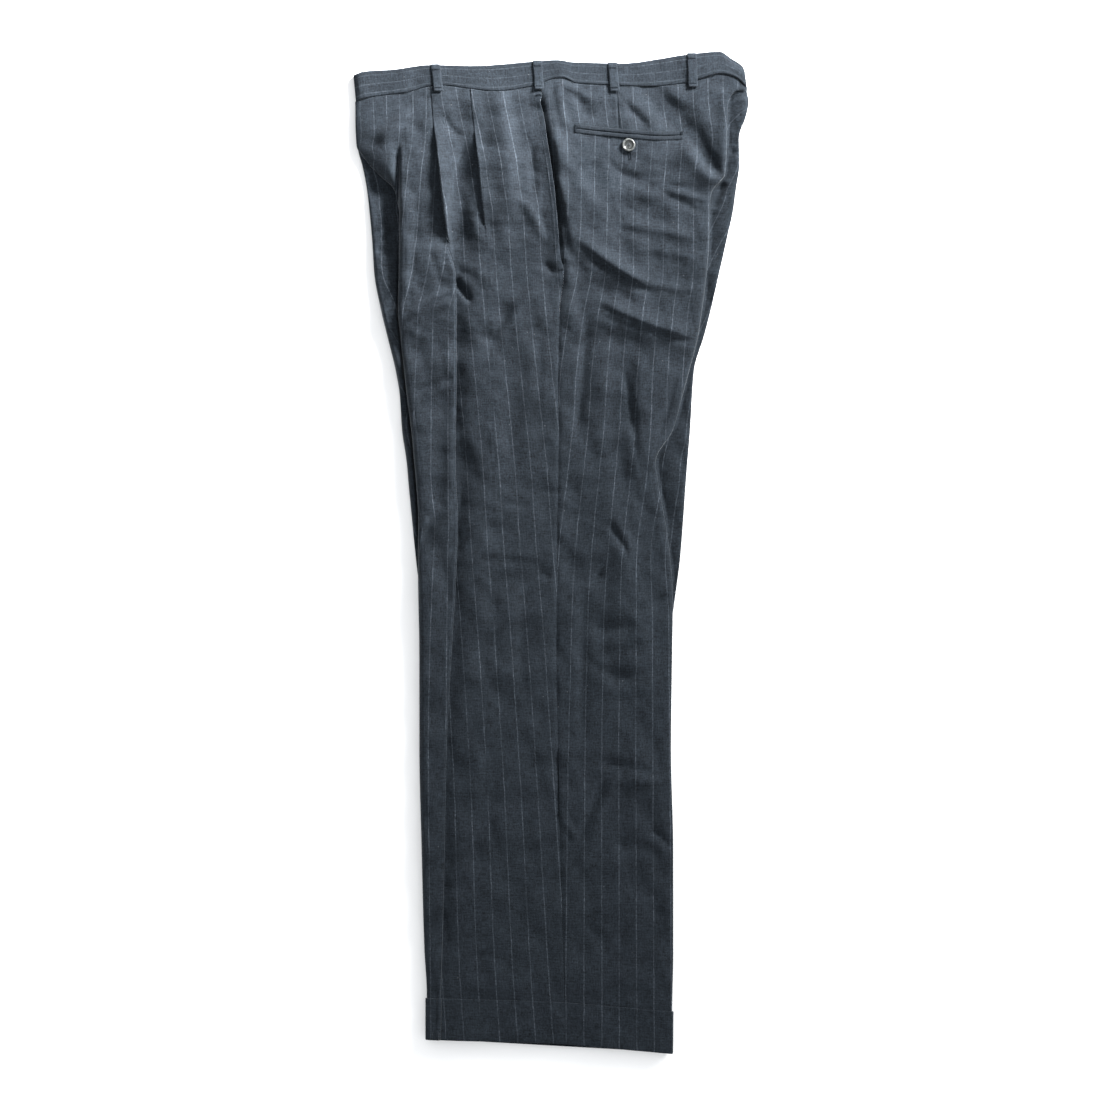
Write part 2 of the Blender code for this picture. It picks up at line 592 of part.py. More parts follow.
def surface_strip(name, route, width, thickness, height_at, made_of):
    """A strip laid on a surface along a route of (x, y), its points taken from the surface, moved out."""
    outer, inner = [], []
    for i, (x, y) in enumerate(route):
        a, b = route[max(0, i - 1)], route[min(len(route) - 1, i + 1)]
        length = math.hypot(b[0] - a[0], b[1] - a[1])
        across = ((a[1] - b[1]) / length, (b[0] - a[0]) / length)
        outer_row, inner_row = [], []
        for shift in (-width / 2, width / 2):
            px, py = x + across[0] * shift, y + across[1] * shift
            base = height_at(px, py) + SEAM_GAP
            outer_row.append((px, py, base + thickness))
            inner_row.append((px, py, base))
        outer.append(outer_row)
        inner.append(inner_row)
    return wall_between(name, outer, inner, made_of)


def top_of(*pieces):
    """A function that gives the height of the pieces' own facets at a point of the plan."""
    trees = [BVHTree.FromPolygons([v.co for v in piece.data.vertices],
                                  [p.vertices for p in piece.data.polygons]) for piece in pieces]

    def height(x, y):
        hits = [tree.ray_cast((x * MM, y * MM, 0.1), (0.0, 0.0, -1.0))[0] for tree in trees]
        return max((hit.z / MM for hit in hits if hit), default=0.0)
    return height


def belt_loop(number, loop, on_top, made_of):
    """A loop sewn over the band's top edge, lying on the band, with its free end turned under."""
    drop = lookup(BAND_TOP, "rise", loop.x, "x") - plan_y(loop.x, WAIST_Y)
    lay = ((0, -6.0, 1.0), (0, -3.4, 0.9), (0, -1.3, 0.3), (0, 1.5, 0.1), (0.45, 0.0, 0.0), (0.7, 0.0, 0.0),
           (1, -5.0, 0.0), (1, -1.0, 0.0), (1, 0.7, 0.0), (1, 0.9, -1.95))
    outer, inner = [], []
    for share, beyond, above in lay:
        inner_row, outer_row = [], []
        for shift in (-LOOP_WIDTH / 2, 0.0, LOOP_WIDTH / 2):
            x = loop.x + shift + loop.lean * (drop * (1.0 - share) - beyond)
            edge = lookup(BAND_TOP, "rise", x, "x") + LOOP_LIFT
            y = mix(plan_y(x, WAIST_Y), edge, share) + beyond
            near = (on_top(x, y + reach) for reach in (-2.2, 0.0, 2.2) if y + reach < edge - 0.5 or reach < 0)
            z = max(near) + LOOP_LIFT + above
            inner_row.append((x, y, z))
            if above < 0:
                outer_row.append((x, y + LOOP_WALL, z))
            elif y > edge:
                outer_row.append((x, y + LOOP_WALL * 0.7, z + LOOP_WALL * 0.8))
            else:
                outer_row.append((x, y, z + LOOP_WALL))
        inner.append(inner_row)
        outer.append(outer_row)
    return wall_between(f"belt_loop_{number}", outer, inner, made_of)


def welt_route(shift):
    """Middle line of a back pocket welt, shifted square to the pocket's mouth."""
    stations = ((26.0, 457.2), (50.0, 454.6), (73.0, 452.4), (96.0, 450.3), (113.0, 449.2), (128.0, 449.6),
                (142.5, 450.4))
    route = []
    for i in range(13):
        x = mix(stations[0][0], stations[-1][0], i / 12)
        for (x0, y0), (x1, y1) in zip(stations, stations[1:]):
            if x0 <= x <= x1 + 1e-6:
                route.append((x, mix(y0, y1, (x - x0) / (x1 - x0)) + shift))
                break
    return route


def button(on_top, made_of):
    """A four-hole button: a turned disc with a raised rim, lying on the left back below the welts."""
    profile = ((0.0, 0.0), (BUTTON_RADIUS - 0.9, 0.0), (BUTTON_RADIUS, 0.9), (BUTTON_RADIUS, 1.7),
               (BUTTON_RADIUS - 0.7, BUTTON_THICKNESS), (BUTTON_RADIUS - 1.7, BUTTON_THICKNESS - 0.2),
               (BUTTON_RADIUS - 2.4, BUTTON_THICKNESS - 0.9), (0.0, BUTTON_THICKNESS - 0.9))
    sides = 28
    builder = bmesh.new()
    rings = [[builder.verts.new((r * math.cos(math.tau * k / sides) * MM,
                                 r * math.sin(math.tau * k / sides) * MM, z * MM))
              for k in range(sides)] for r, z in profile[1:-1]]
    bottom = builder.verts.new((0, 0, 0))
    top = builder.verts.new((0, 0, profile[-1][1] * MM))
    for k in range(sides):
        n = (k + 1) % sides
        for a, b in zip(rings, rings[1:]):
            builder.faces.new((a[k], a[n], b[n], b[k]))
        builder.faces.new((bottom, rings[0][n], rings[0][k]))
        builder.faces.new((top, rings[-1][k], rings[-1][n]))
    piece = add_object("back_pocket_button", builder, made_of)
    slope_x = (on_top(BUTTON_X + 6, BUTTON_Y) - on_top(BUTTON_X - 6, BUTTON_Y)) / 12
    slope_y = (on_top(BUTTON_X, BUTTON_Y + 6) - on_top(BUTTON_X, BUTTON_Y - 6)) / 12
    highest = max(on_top(BUTTON_X + BUTTON_RADIUS * math.cos(a), BUTTON_Y + BUTTON_RADIUS * math.sin(a))
                  - slope_x * BUTTON_RADIUS * math.cos(a) - slope_y * BUTTON_RADIUS * math.sin(a)
                  for a in (math.tau * k / 12 for k in range(12)))
    piece.rotation_euler = (math.atan(slope_y), -math.atan(slope_x), 0.0)
    piece.location = (BUTTON_X * MM, BUTTON_Y * MM,
                      (max(highest, on_top(BUTTON_X, BUTTON_Y)) + SEAM_GAP + 0.1) * MM)
    for k in range(4):
        angle = math.tau * (k + 0.5) / 4
        drill = bmesh.new()
        bmesh.ops.create_cone(drill, cap_ends=True, segments=8, radius1=0.75 * MM, radius2=0.75 * MM,
                              depth=10 * MM)
        mesh = bpy.data.meshes.new(f"thread_hole_{k + 1}")
        drill.to_mesh(mesh)
        drill.free()
        cutter = bpy.data.objects.new(f"thread_hole_{k + 1}", mesh)
        cutter.parent = piece
        cutter.location = (1.5 * math.cos(angle) * MM, 1.5 * math.sin(angle) * MM, 0.0)
        cutter.hide_render = True
        cutter.display_type = "WIRE"
        bpy.context.collection.objects.link(cutter)
        cut = piece.modifiers.new(f"thread_hole_{k + 1}", "BOOLEAN")
        cut.operation = "DIFFERENCE"
        cut.solver = "EXACT"
        cut.object = cutter
    return piece


def build():
    for old in list(bpy.data.objects):
        bpy.data.objects.remove(old, do_unlink=True)
    face = material("pinstripe_wool_face", (0.088, 0.101, 0.118), 0.86)
    hidden = material("pinstripe_wool_under", (0.060, 0.070, 0.084), 0.9)
    band = material("waistband_wool", (0.098, 0.112, 0.130), 0.84)
    loops = material("belt_loop_wool", (0.105, 0.120, 0.138), 0.84)
    welts = material("pocket_welt_wool", (0.092, 0.105, 0.122), 0.85)
    horn = material("grey_button", (0.42, 0.43, 0.43), 0.3)

    rows = row_heights(ZONES, HEM_Y + WALL + SEAM_GAP)
    left_front = panel("left_front", upper_path, -1, rows, face)
    left_back = panel("left_back", upper_path, 1, rows, face)
    panel("right_front", lower_path, -1, rows, hidden)
    panel("right_back", lower_path, 1, rows, hidden)
    turn_up("left_turn_up", upper_path, face, True)
    turn_up("right_turn_up", lower_path, hidden, False)
    left_band = waistband("left_waistband", upper_path, band)
    waistband("right_waistband", lower_path, band)
    for number, loop in enumerate(LOOPS, 1):
        belt_loop(number, loop, top_of(left_band, left_front, left_back), loops)
    spacing = (WELT_WIDTH + POCKET_SLIT) / 2
    for name, shift in (("back_pocket_upper_welt", spacing), ("back_pocket_lower_welt", -spacing)):
        surface_strip(name, welt_route(shift), WELT_WIDTH, WELT_WALL, top_of(left_back), welts)
    button(top_of(left_back), horn)


build()
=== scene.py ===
"""Pleated dress trousers, laid flat on their right side, dressed around the packed solids.

An add-on layout: the sizes and colours that a user would change are in property groups, every group of
like pieces has its own operator, and main() calls them in order. Lengths in the tables are millimetres;
the waist points to +Y, the front to -X, the back to +X, and the wearer's left leg lies on the right leg.
"""
import math
from collections import namedtuple
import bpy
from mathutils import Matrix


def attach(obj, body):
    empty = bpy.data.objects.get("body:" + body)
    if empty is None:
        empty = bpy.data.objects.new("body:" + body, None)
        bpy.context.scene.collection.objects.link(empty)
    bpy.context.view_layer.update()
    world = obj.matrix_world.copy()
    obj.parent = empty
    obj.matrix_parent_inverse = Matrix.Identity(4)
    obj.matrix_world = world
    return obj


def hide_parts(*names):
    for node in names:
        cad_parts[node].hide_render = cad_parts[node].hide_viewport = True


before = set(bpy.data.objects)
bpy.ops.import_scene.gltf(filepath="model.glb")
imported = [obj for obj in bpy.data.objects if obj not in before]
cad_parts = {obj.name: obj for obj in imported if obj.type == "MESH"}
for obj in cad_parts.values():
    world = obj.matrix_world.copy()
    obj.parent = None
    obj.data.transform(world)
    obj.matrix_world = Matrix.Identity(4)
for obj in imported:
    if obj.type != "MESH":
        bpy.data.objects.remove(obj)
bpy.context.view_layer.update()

from types import SimpleNamespace

import bmesh
import bpy
import numpy as np
from mathutils import Vector
from mathutils.bvhtree import BVHTree

bl_info = {
    "name": "Pleated dress trousers",
    "version": (1, 0, 0),
    "blender": (4, 5, 0),
    "location": "3D View > Sidebar > Trousers",
    "description": "Cloth, sewing and studio for a pair of pinstriped trousers laid flat",
    "category": "Object",
}

MM = 0.001
WALL = 1.2                 # cloth of a panel in the solids
BAND_WALL = 2.6            # folded cloth of the waistband
BAND_TOP_HEIGHT = 8.5      # of the left waistband's upper side, where it lies level
BAND_NOSE = 5.5            # top of the waistband at its two rounded ends
BAND_SPLIT = 4.3           # height between its left and right half there
SEAM_GAP = 0.3             # between pieces that are sewn together
HOLLOW = 0.2               # inside a flattened leg where its upper side sinks lowest
WAIST_Y = 499.7            # waist seam, before it is bent
WAIST_BLEND_Y = 405.0      # above this the rows bend with the waist seam
SLACK_START = 14.0         # the slack grows over this run below the seam
HEM_Y = -532.8             # lower edge of the turn-ups, before it is sloped
HEM_BLEND_Y, HEM_BLEND_RUN = -380.0, 125.0     # below this, and over this run, the rows slope with the hem
TURN_UP_HEIGHT = 45.3
CROTCH_Y = 235.1
PLEAT_ARC, ARC_STEPS = 1.6, 5          # length of cloth in each turn of a pleat, and its steps
LEAST_ARC = 0.25           # share of it that is left where a pleat rolls over from one way to the other
ROLL_TURN, ROLL_RANGE = 35.0, 75.0     # degrees of turn at which that is, and how far around it
OVERHANG = 2.6             # a crease's pressed edge lies back over its own foot by this
POCKET_LAP = 9.0           # the back runs this far under the front along the side pocket
POCKET_HIGH, POCKET_LOW = 487.0, 303.0
LAP_EASE_HIGH, LAP_EASE_LOW = 8.0, 15.0        # it comes in over these runs at the pocket's two ends
EDGE_DROP, EDGE_RUN = 1.6, 9.0         # the face rolls down by this over this run to its fold
TURN_BACK = 4.0            # hidden cloth turns back this far inside a fold
SETTLE_RUN = 45.0          # and has settled flat this far inside it
EDGE_STUB = 1.2            # last stretch of a section that ends edge to edge with the other leg's
MEETING_HEIGHT = 4.2       # height at which they meet
STRIPE_PITCH = 19.1        # between pinstripes on flat cloth
TWILL_PITCH = 0.0011       # metres between the diagonals of the twill
PLY_PITCH = 0.0007         # metres between the plies of sewing thread
LINT_COLOUR = (0.30, 0.31, 0.33, 1.0)
HORN_DARK, HORN_PALE = (0.018, 0.020, 0.019, 1.0), (0.085, 0.09, 0.088, 1.0)
# painted shade: the colour given to the button's dish, where its recess would lie in shade
HORN_DISH_SHADE = (0.008, 0.009, 0.009, 1.0)
PLEAT_SPREAD = 26.0        # how far the second pleat's layers raise the cloth beside them
CREASE_SPREAD = 34.0       # and the first pleat's
STEP_SPREAD = 60.0         # and how far the front stays raised beside the crease
KNEE = 6.0                 # the face begins to roll over this far inside a fold


def curve(places, values):
    """A smooth curve with no overshoot through values at places, read at any array of places."""
    order = np.argsort(places)
    x, v = np.asarray(places, float)[order], np.asarray(values, float)[order]
    slope = np.diff(v) / np.diff(x)
    product, total = slope[:-1] * slope[1:], slope[:-1] + slope[1:]
    bend = np.where(product > 0, 2 * product / np.where(product > 0, total, 1.0), 0.0)
    tangent = np.concatenate((slope[:1], bend, slope[-1:]))

    def read(at):
        at = np.clip(at, x[0], x[-1])
        i = np.clip(np.searchsorted(x, at) - 1, 0, len(x) - 2)
        span = x[i + 1] - x[i]
        t = (at - x[i]) / span
        return ((1 + 2 * t) * (1 - t) ** 2 * v[i] + t * (1 - t) ** 2 * span * tangent[i]
                + t * t * (3 - 2 * t) * v[i + 1] + t * t * (t - 1) * span * tangent[i + 1])
    return read


def table(names, *rows):
    """A table whose first column is a place; each other column becomes a curve over it."""
    columns = list(zip(*rows))
    return SimpleNamespace(**{name: curve(columns[0], column)
                              for name, column in zip(names.split(), columns[1:])})


# Plan of the garment by height: the right leg's front fold, the left leg's front fold, the first pleat and
# front crease, the second pleat, the side seam, and the right leg's back fold.
SECTION = table(
    "low_front up_front crease pleat side low_back",
    (499.7, -211.2, -162.0, -129.9, -86.6, -10.6, 212.2),
    (485.7, -210.7, -162.5, -128.3, -85.5, -9.8, 213.6),
    (465.2, -210.0, -163.0, -126.8, -83.2, -4.9, 209.9),
    (443.6, -209.6, -163.2, -123.6, -80.6, -1.6, 203.3),
    (418.7, -203.6, -163.2, -120.3, -77.5, 2.7, 203.6),
    (393.9, -198.8, -162.9, -117.9, -75.2, 6.2, 200.2),
    (370.1, -196.0, -162.9, -115.1, -72.7, 8.6, 197.0),
    (337.7, -193.0, -162.9, -110.2, -68.9, 11.2, 189.9),
    (299.9, -190.5, -163.4, -101.4, -65.7, 14.0, 181.4),
    (262.1, -183.4, -164.2, -101.0, -64.0, 9.7, 172.8),
    (235.1, -176.9, -161.8, -101.3, -63.5, 8.9, 165.8),
    (197.3, -167.7, -157.8, -101.4, -62.5, 8.2, 154.7),
    (169.2, -163.0, -154.7, -101.5, -62.0, 7.8, 152.5),
    (132.5, -160.7, -149.9, -102.0, -61.5, 8.9, 150.4),
    (98.0, -155.7, -146.7, -102.3, -61.0, 8.6, 147.5),
    (74.2, -153.6, -144.5, -101.6, -60.5, 8.0, 145.7),
    (35.3, -149.9, -142.3, -99.6, -60.0, 7.2, 143.0),
    (-7.9, -145.6, -142.8, -100.7, -60.3, 6.5, 139.5),
    (-51.1, -140.6, -142.3, -102.6, -61.0, 6.4, 133.9),
    (-105.1, -138.0, -141.3, -105.6, -63.0, 6.2, 127.0),
    (-213.1, -137.5, -141.2, -110.5, -67.0, 8.0, 125.5),
    (-321.1, -135.2, -138.8, -112.3, -70.0, 10.3, 127.7),
    (-429.1, -132.1, -135.9, -114.5, -72.0, 13.5, 128.2),
    (-483.1, -130.5, -133.2, -115.8, -73.0, 15.0, 127.7),
    (-540.0, -130.5, -133.2, -117.0, -74.0, 15.9, 127.0))

# The left leg's back fold, which steps in below the seat's lowest tuck.
BACK_FOLD = table(
    "x",
    (499.7, 191.0), (485.7, 191.4), (465.2, 190.1), (443.6, 189.4), (418.7, 188.5), (407.0, 187.0),
    (400.0, 182.0), (392.0, 174.5), (384.0, 171.6), (337.7, 170.4), (299.9, 167.4), (262.1, 162.6),
    (235.1, 158.6), (197.3, 149.0), (169.2, 141.4), (132.5, 131.1), (98.0, 112.5), (74.2, 115.4),
    (35.3, 122.6), (-7.9, 128.7), (-51.1, 131.2), (-105.1, 130.4), (-213.1, 129.1), (-321.1, 131.5),
    (-429.1, 131.5), (-483.1, 130.2), (-540.0, 129.6))

# Heights of the stack: underside, covered right leg, its strips at the front and the back, clearance, top.
STACK = table(
    "under covered front_strip back_strip lift top",
    (499.7, 0.0, 3.2, 3.4, 3.6, 0.3, 5.9), (480.0, 0.0, 3.2, 4.0, 5.0, 0.3, 8.2),
    (443.6, 0.0, 3.2, 4.6, 6.4, 0.3, 11.0), (393.9, 0.0, 3.2, 4.4, 6.8, 0.3, 13.0),
    (320.0, 0.0, 3.2, 6.0, 6.8, 0.3, 13.2), (235.1, 0.0, 3.2, 6.4, 6.6, 0.3, 12.6),
    (132.5, 0.0, 3.2, 5.0, 6.0, 0.3, 10.8), (35.3, 0.0, 3.2, 4.2, 5.0, 0.3, 9.4),
    (-51.1, 0.0, 3.2, 3.2, 3.4, 0.3, 8.6), (-250.0, 0.0, 3.2, 3.2, 3.2, 0.3, 8.0),
    (-429.1, 0.0, 3.2, 3.2, 3.2, 0.3, 8.2), (-478.0, 1.5, 3.0, 3.0, 3.0, 3.3, 10.9),
    (-540.0, 1.5, 3.0, 3.0, 3.0, 3.3, 10.9))

# Turn of the cloth in degrees and its flat run, in the first pleat and front crease, and the second pleat.
PLEAT = table(
    "first_turn first_run second_turn second_run",
    (499.7, 180, 14, 180, 11), (463.0, 180, 12, 180, 9), (430.0, 176, 9, 168, 5),
    (393.9, 160, 6, 150, 2), (360.0, 138, 3, 110, 1), (346.0, 112, 1.2, 12, 1), (337.0, 60, 0.2, 6, 1),
    (330.0, -30, 0.2, 0, 1), (322.0, -85, 0.7, 0, 1), (310.0, -104, 2.4, 0, 1), (295.0, -110, 4.0, 0, 1),
    (235.1, -116, 4.2, 0, 1), (35.3, -114, 4.0, 0, 1), (-100.0, -108, 3.2, 0, 1), (-213.1, -100, 2.6, 0, 1),
    (-429.1, -85, 2.0, 0, 1), (-540.0, -60, 1.5, 0, 1))

# How far the soft upper side stands above the pressed stack.
PUFF = table(
    "rise",
    (499.7, 1.8), (485.0, 2.1), (443.6, 2.2), (393.0, 3.0), (320.0, 4.2), (235.0, 4.4), (132.0, 3.6),
    (35.0, 3.2), (-150.0, 2.4), (-380.0, 1.6), (-480.0, 0.4), (-540.0, 0.0))

# How the left panels pass their fold lines.
FRONT_TURN = table(
    "reach heading pull_out pull_in lap",
    (499.7, 48.4, 90, 44.0, 2.0, 0.0), (443.6, 45.8, 90, 32.0, 3.0, 0.0),
    (431.0, 40.0, 62, 15.0, 5.0, 0.7), (418.7, 32.0, 50, 10.0, 7.0, 1.0),
    (405.0, 19.0, 65, 8.0, 6.0, 1.0), (393.9, 7.0, 88, 8.0, 4.0, 1.0),
    (380.0, 0.5, 130, 7.0, 5.0, 1.0), (366.0, -4.0, 180, 7.6, 5.6, 1.0),
    (-540.0, -4.0, 180, 7.6, 5.6, 1.0))

BACK_TURN = table(
    "reach heading pull_out pull_in lap",
    (499.7, 20.6, 90, 14.0, 2.0, 0.0), (493.0, 17.0, 80, 13.0, 3.0, 0.5),
    (486.0, 8.0, 95, 9.0, 4.0, 1.0), (478.0, -1.0, 150, 7.6, 5.0, 1.0),
    (470.0, -4.0, 180, 7.6, 5.6, 1.0), (-540.0, -4.0, 180, 7.6, 5.6, 1.0))

# Seams hidden between the legs.
RISE = table(
    "front back",
    (499.7, -212.0, 212.0), (465.2, -208.0, 184.0), (418.7, -193.0, 174.0), (393.9, -168.0, 163.0),
    (370.1, -155.0, 150.0), (337.7, -143.0, 128.0), (299.9, -119.0, 88.0), (262.1, -86.0, 14.0),
    (235.1, -55.0, -55.0))

INSEAM = table(
    "x",
    (235.1, -55.0), (197.3, -44.0), (132.5, -33.0), (35.3, -22.0), (-105.1, -14.0), (-321.1, -6.0),
    (-540.0, -3.0))

# The waistband's seam and top edge, and the slope of the hem.
WAIST_SEAM = table(
    "rise",
    (-210.7, -13.0), (-198.7, -9.3), (-180.6, -6.8), (-157.5, -4.0), (-130.1, 3.0), (-116.1, 3.9),
    (-89.4, 0.6), (-61.8, -2.4), (-21.4, 2.8), (6.0, 11.6), (13.9, 12.0), (26.7, 6.5), (56.7, 4.5),
    (101.1, 3.0), (145.5, 6.5), (164.4, 12.0), (183.5, 16.7), (199.4, 12.9), (212.5, 1.7))

BAND_TOP = table(
    "y",
    (-213.2, 515.4), (-201.2, 519.2), (-169.8, 521.3), (-130.5, 526.2), (-84.0, 525.2), (-21.4, 529.7),
    (6.0, 531.6), (25.1, 529.2), (79.1, 528.0), (120.1, 533.2), (144.9, 537.3), (182.2, 540.5),
    (195.7, 532.7), (207.0, 524.8), (212.5, 509.0))

HEM_SLOPE = table("rise", (-134.8, 7.6), (7.8, 3.2), (33.7, 1.1), (130.7, -7.7))


# Belt loops on the left side: where each is sewn to the band, and its lean for each mm of height.
LOOPS = ((-124.6, 0.13), (-14.6, 0.075), (66.4, 0.095), (152.0, 0.045))

# One line of pinstripes through each area of the left leg, and their spacing: between the side seam and
# the crease, in front of the crease, and on the back panel towards the front and towards the back.
SIDE_STRIPES = table(
    "x pitch",
    (521.3, -54.9, 16.7), (488.9, -50.5, 16.7), (456.5, -44.1, 16.6), (424.1, -37.6, 16.6),
    (391.7, -33.3, 16.6), (370.1, -30.0, 16.5), (316.1, -26.8, 16.5), (240.5, -20.3, 16.6),
    (164.9, -12.2, 16.8), (89.3, -4.1, 17.2), (7.2, 1.8, 17.5), (-87.8, 9.9, 17.7),
    (-213.1, 18.5, 17.8), (-483.1, 38.0, 19.2), (-542.5, 42.3, 19.2))
CREASE_STRIPES = table(
    "x pitch",
    (532.1, -105.6, 14.6), (478.1, -105.6, 14.3), (445.7, -106.7, 14.3), (413.3, -109.9, 14.7),
    (348.5, -111.6, 16.2), (309.6, -115.3, 16.7), (283.7, -120.7, 16.6), (255.6, -126.7, 16.4),
    (218.9, -127.4, 17.2), (164.9, -128.7, 18.1), (82.8, -129.4, 18.9), (56.9, -127.2, 16.7),
    (29.9, -124.5, 14.5), (2.9, -125.9, 15.1), (-28.4, -127.5, 16.2), (-117.0, -130.5, 18.1),
    (-205.5, -132.0, 19.0), (-342.7, -131.0, 17.3), (-477.7, -129.4, 14.6), (-542.5, -128.8, 14.0))
BACK_STRIPES = table(
    "x pitch_front pitch_back",
    (532.1, 88.2, 15.1, 16.2), (488.9, 88.8, 15.1, 16.2), (445.7, 93.1, 15.1, 16.2),
    (380.9, 88.8, 14.0, 16.2), (305.3, 88.8, 14.9, 16.2), (262.1, 83.4, 15.7, 16.2),
    (229.7, 80.1, 16.2, 16.2), (186.5, 76.9, 16.7, 16.2), (143.3, 74.7, 16.8, 16.6),
    (89.3, 69.8, 17.1, 17.1), (7.2, 62.4, 17.7, 15.3), (-64.0, 57.5, 17.3, 17.3),
    (-117.0, 56.4, 17.5, 17.7), (-234.7, 54.8, 18.1, 18.4), (-483.1, 55.1, 19.4, 18.7),
    (-542.5, 55.1, 19.4, 18.9))
CREASE_STRIPE_STEP = -9.0  # whole stripes between the first two tables, across the crease

# Areas of the cloth. SIDE, CREASE_BACK and CREASE_FRONT count the pleats passed from the side seam.
LEFT_LEG, SIDE, CREASE_BACK, CREASE_FRONT, BACK, RIGHT_STRIPS = range(-1, 5)

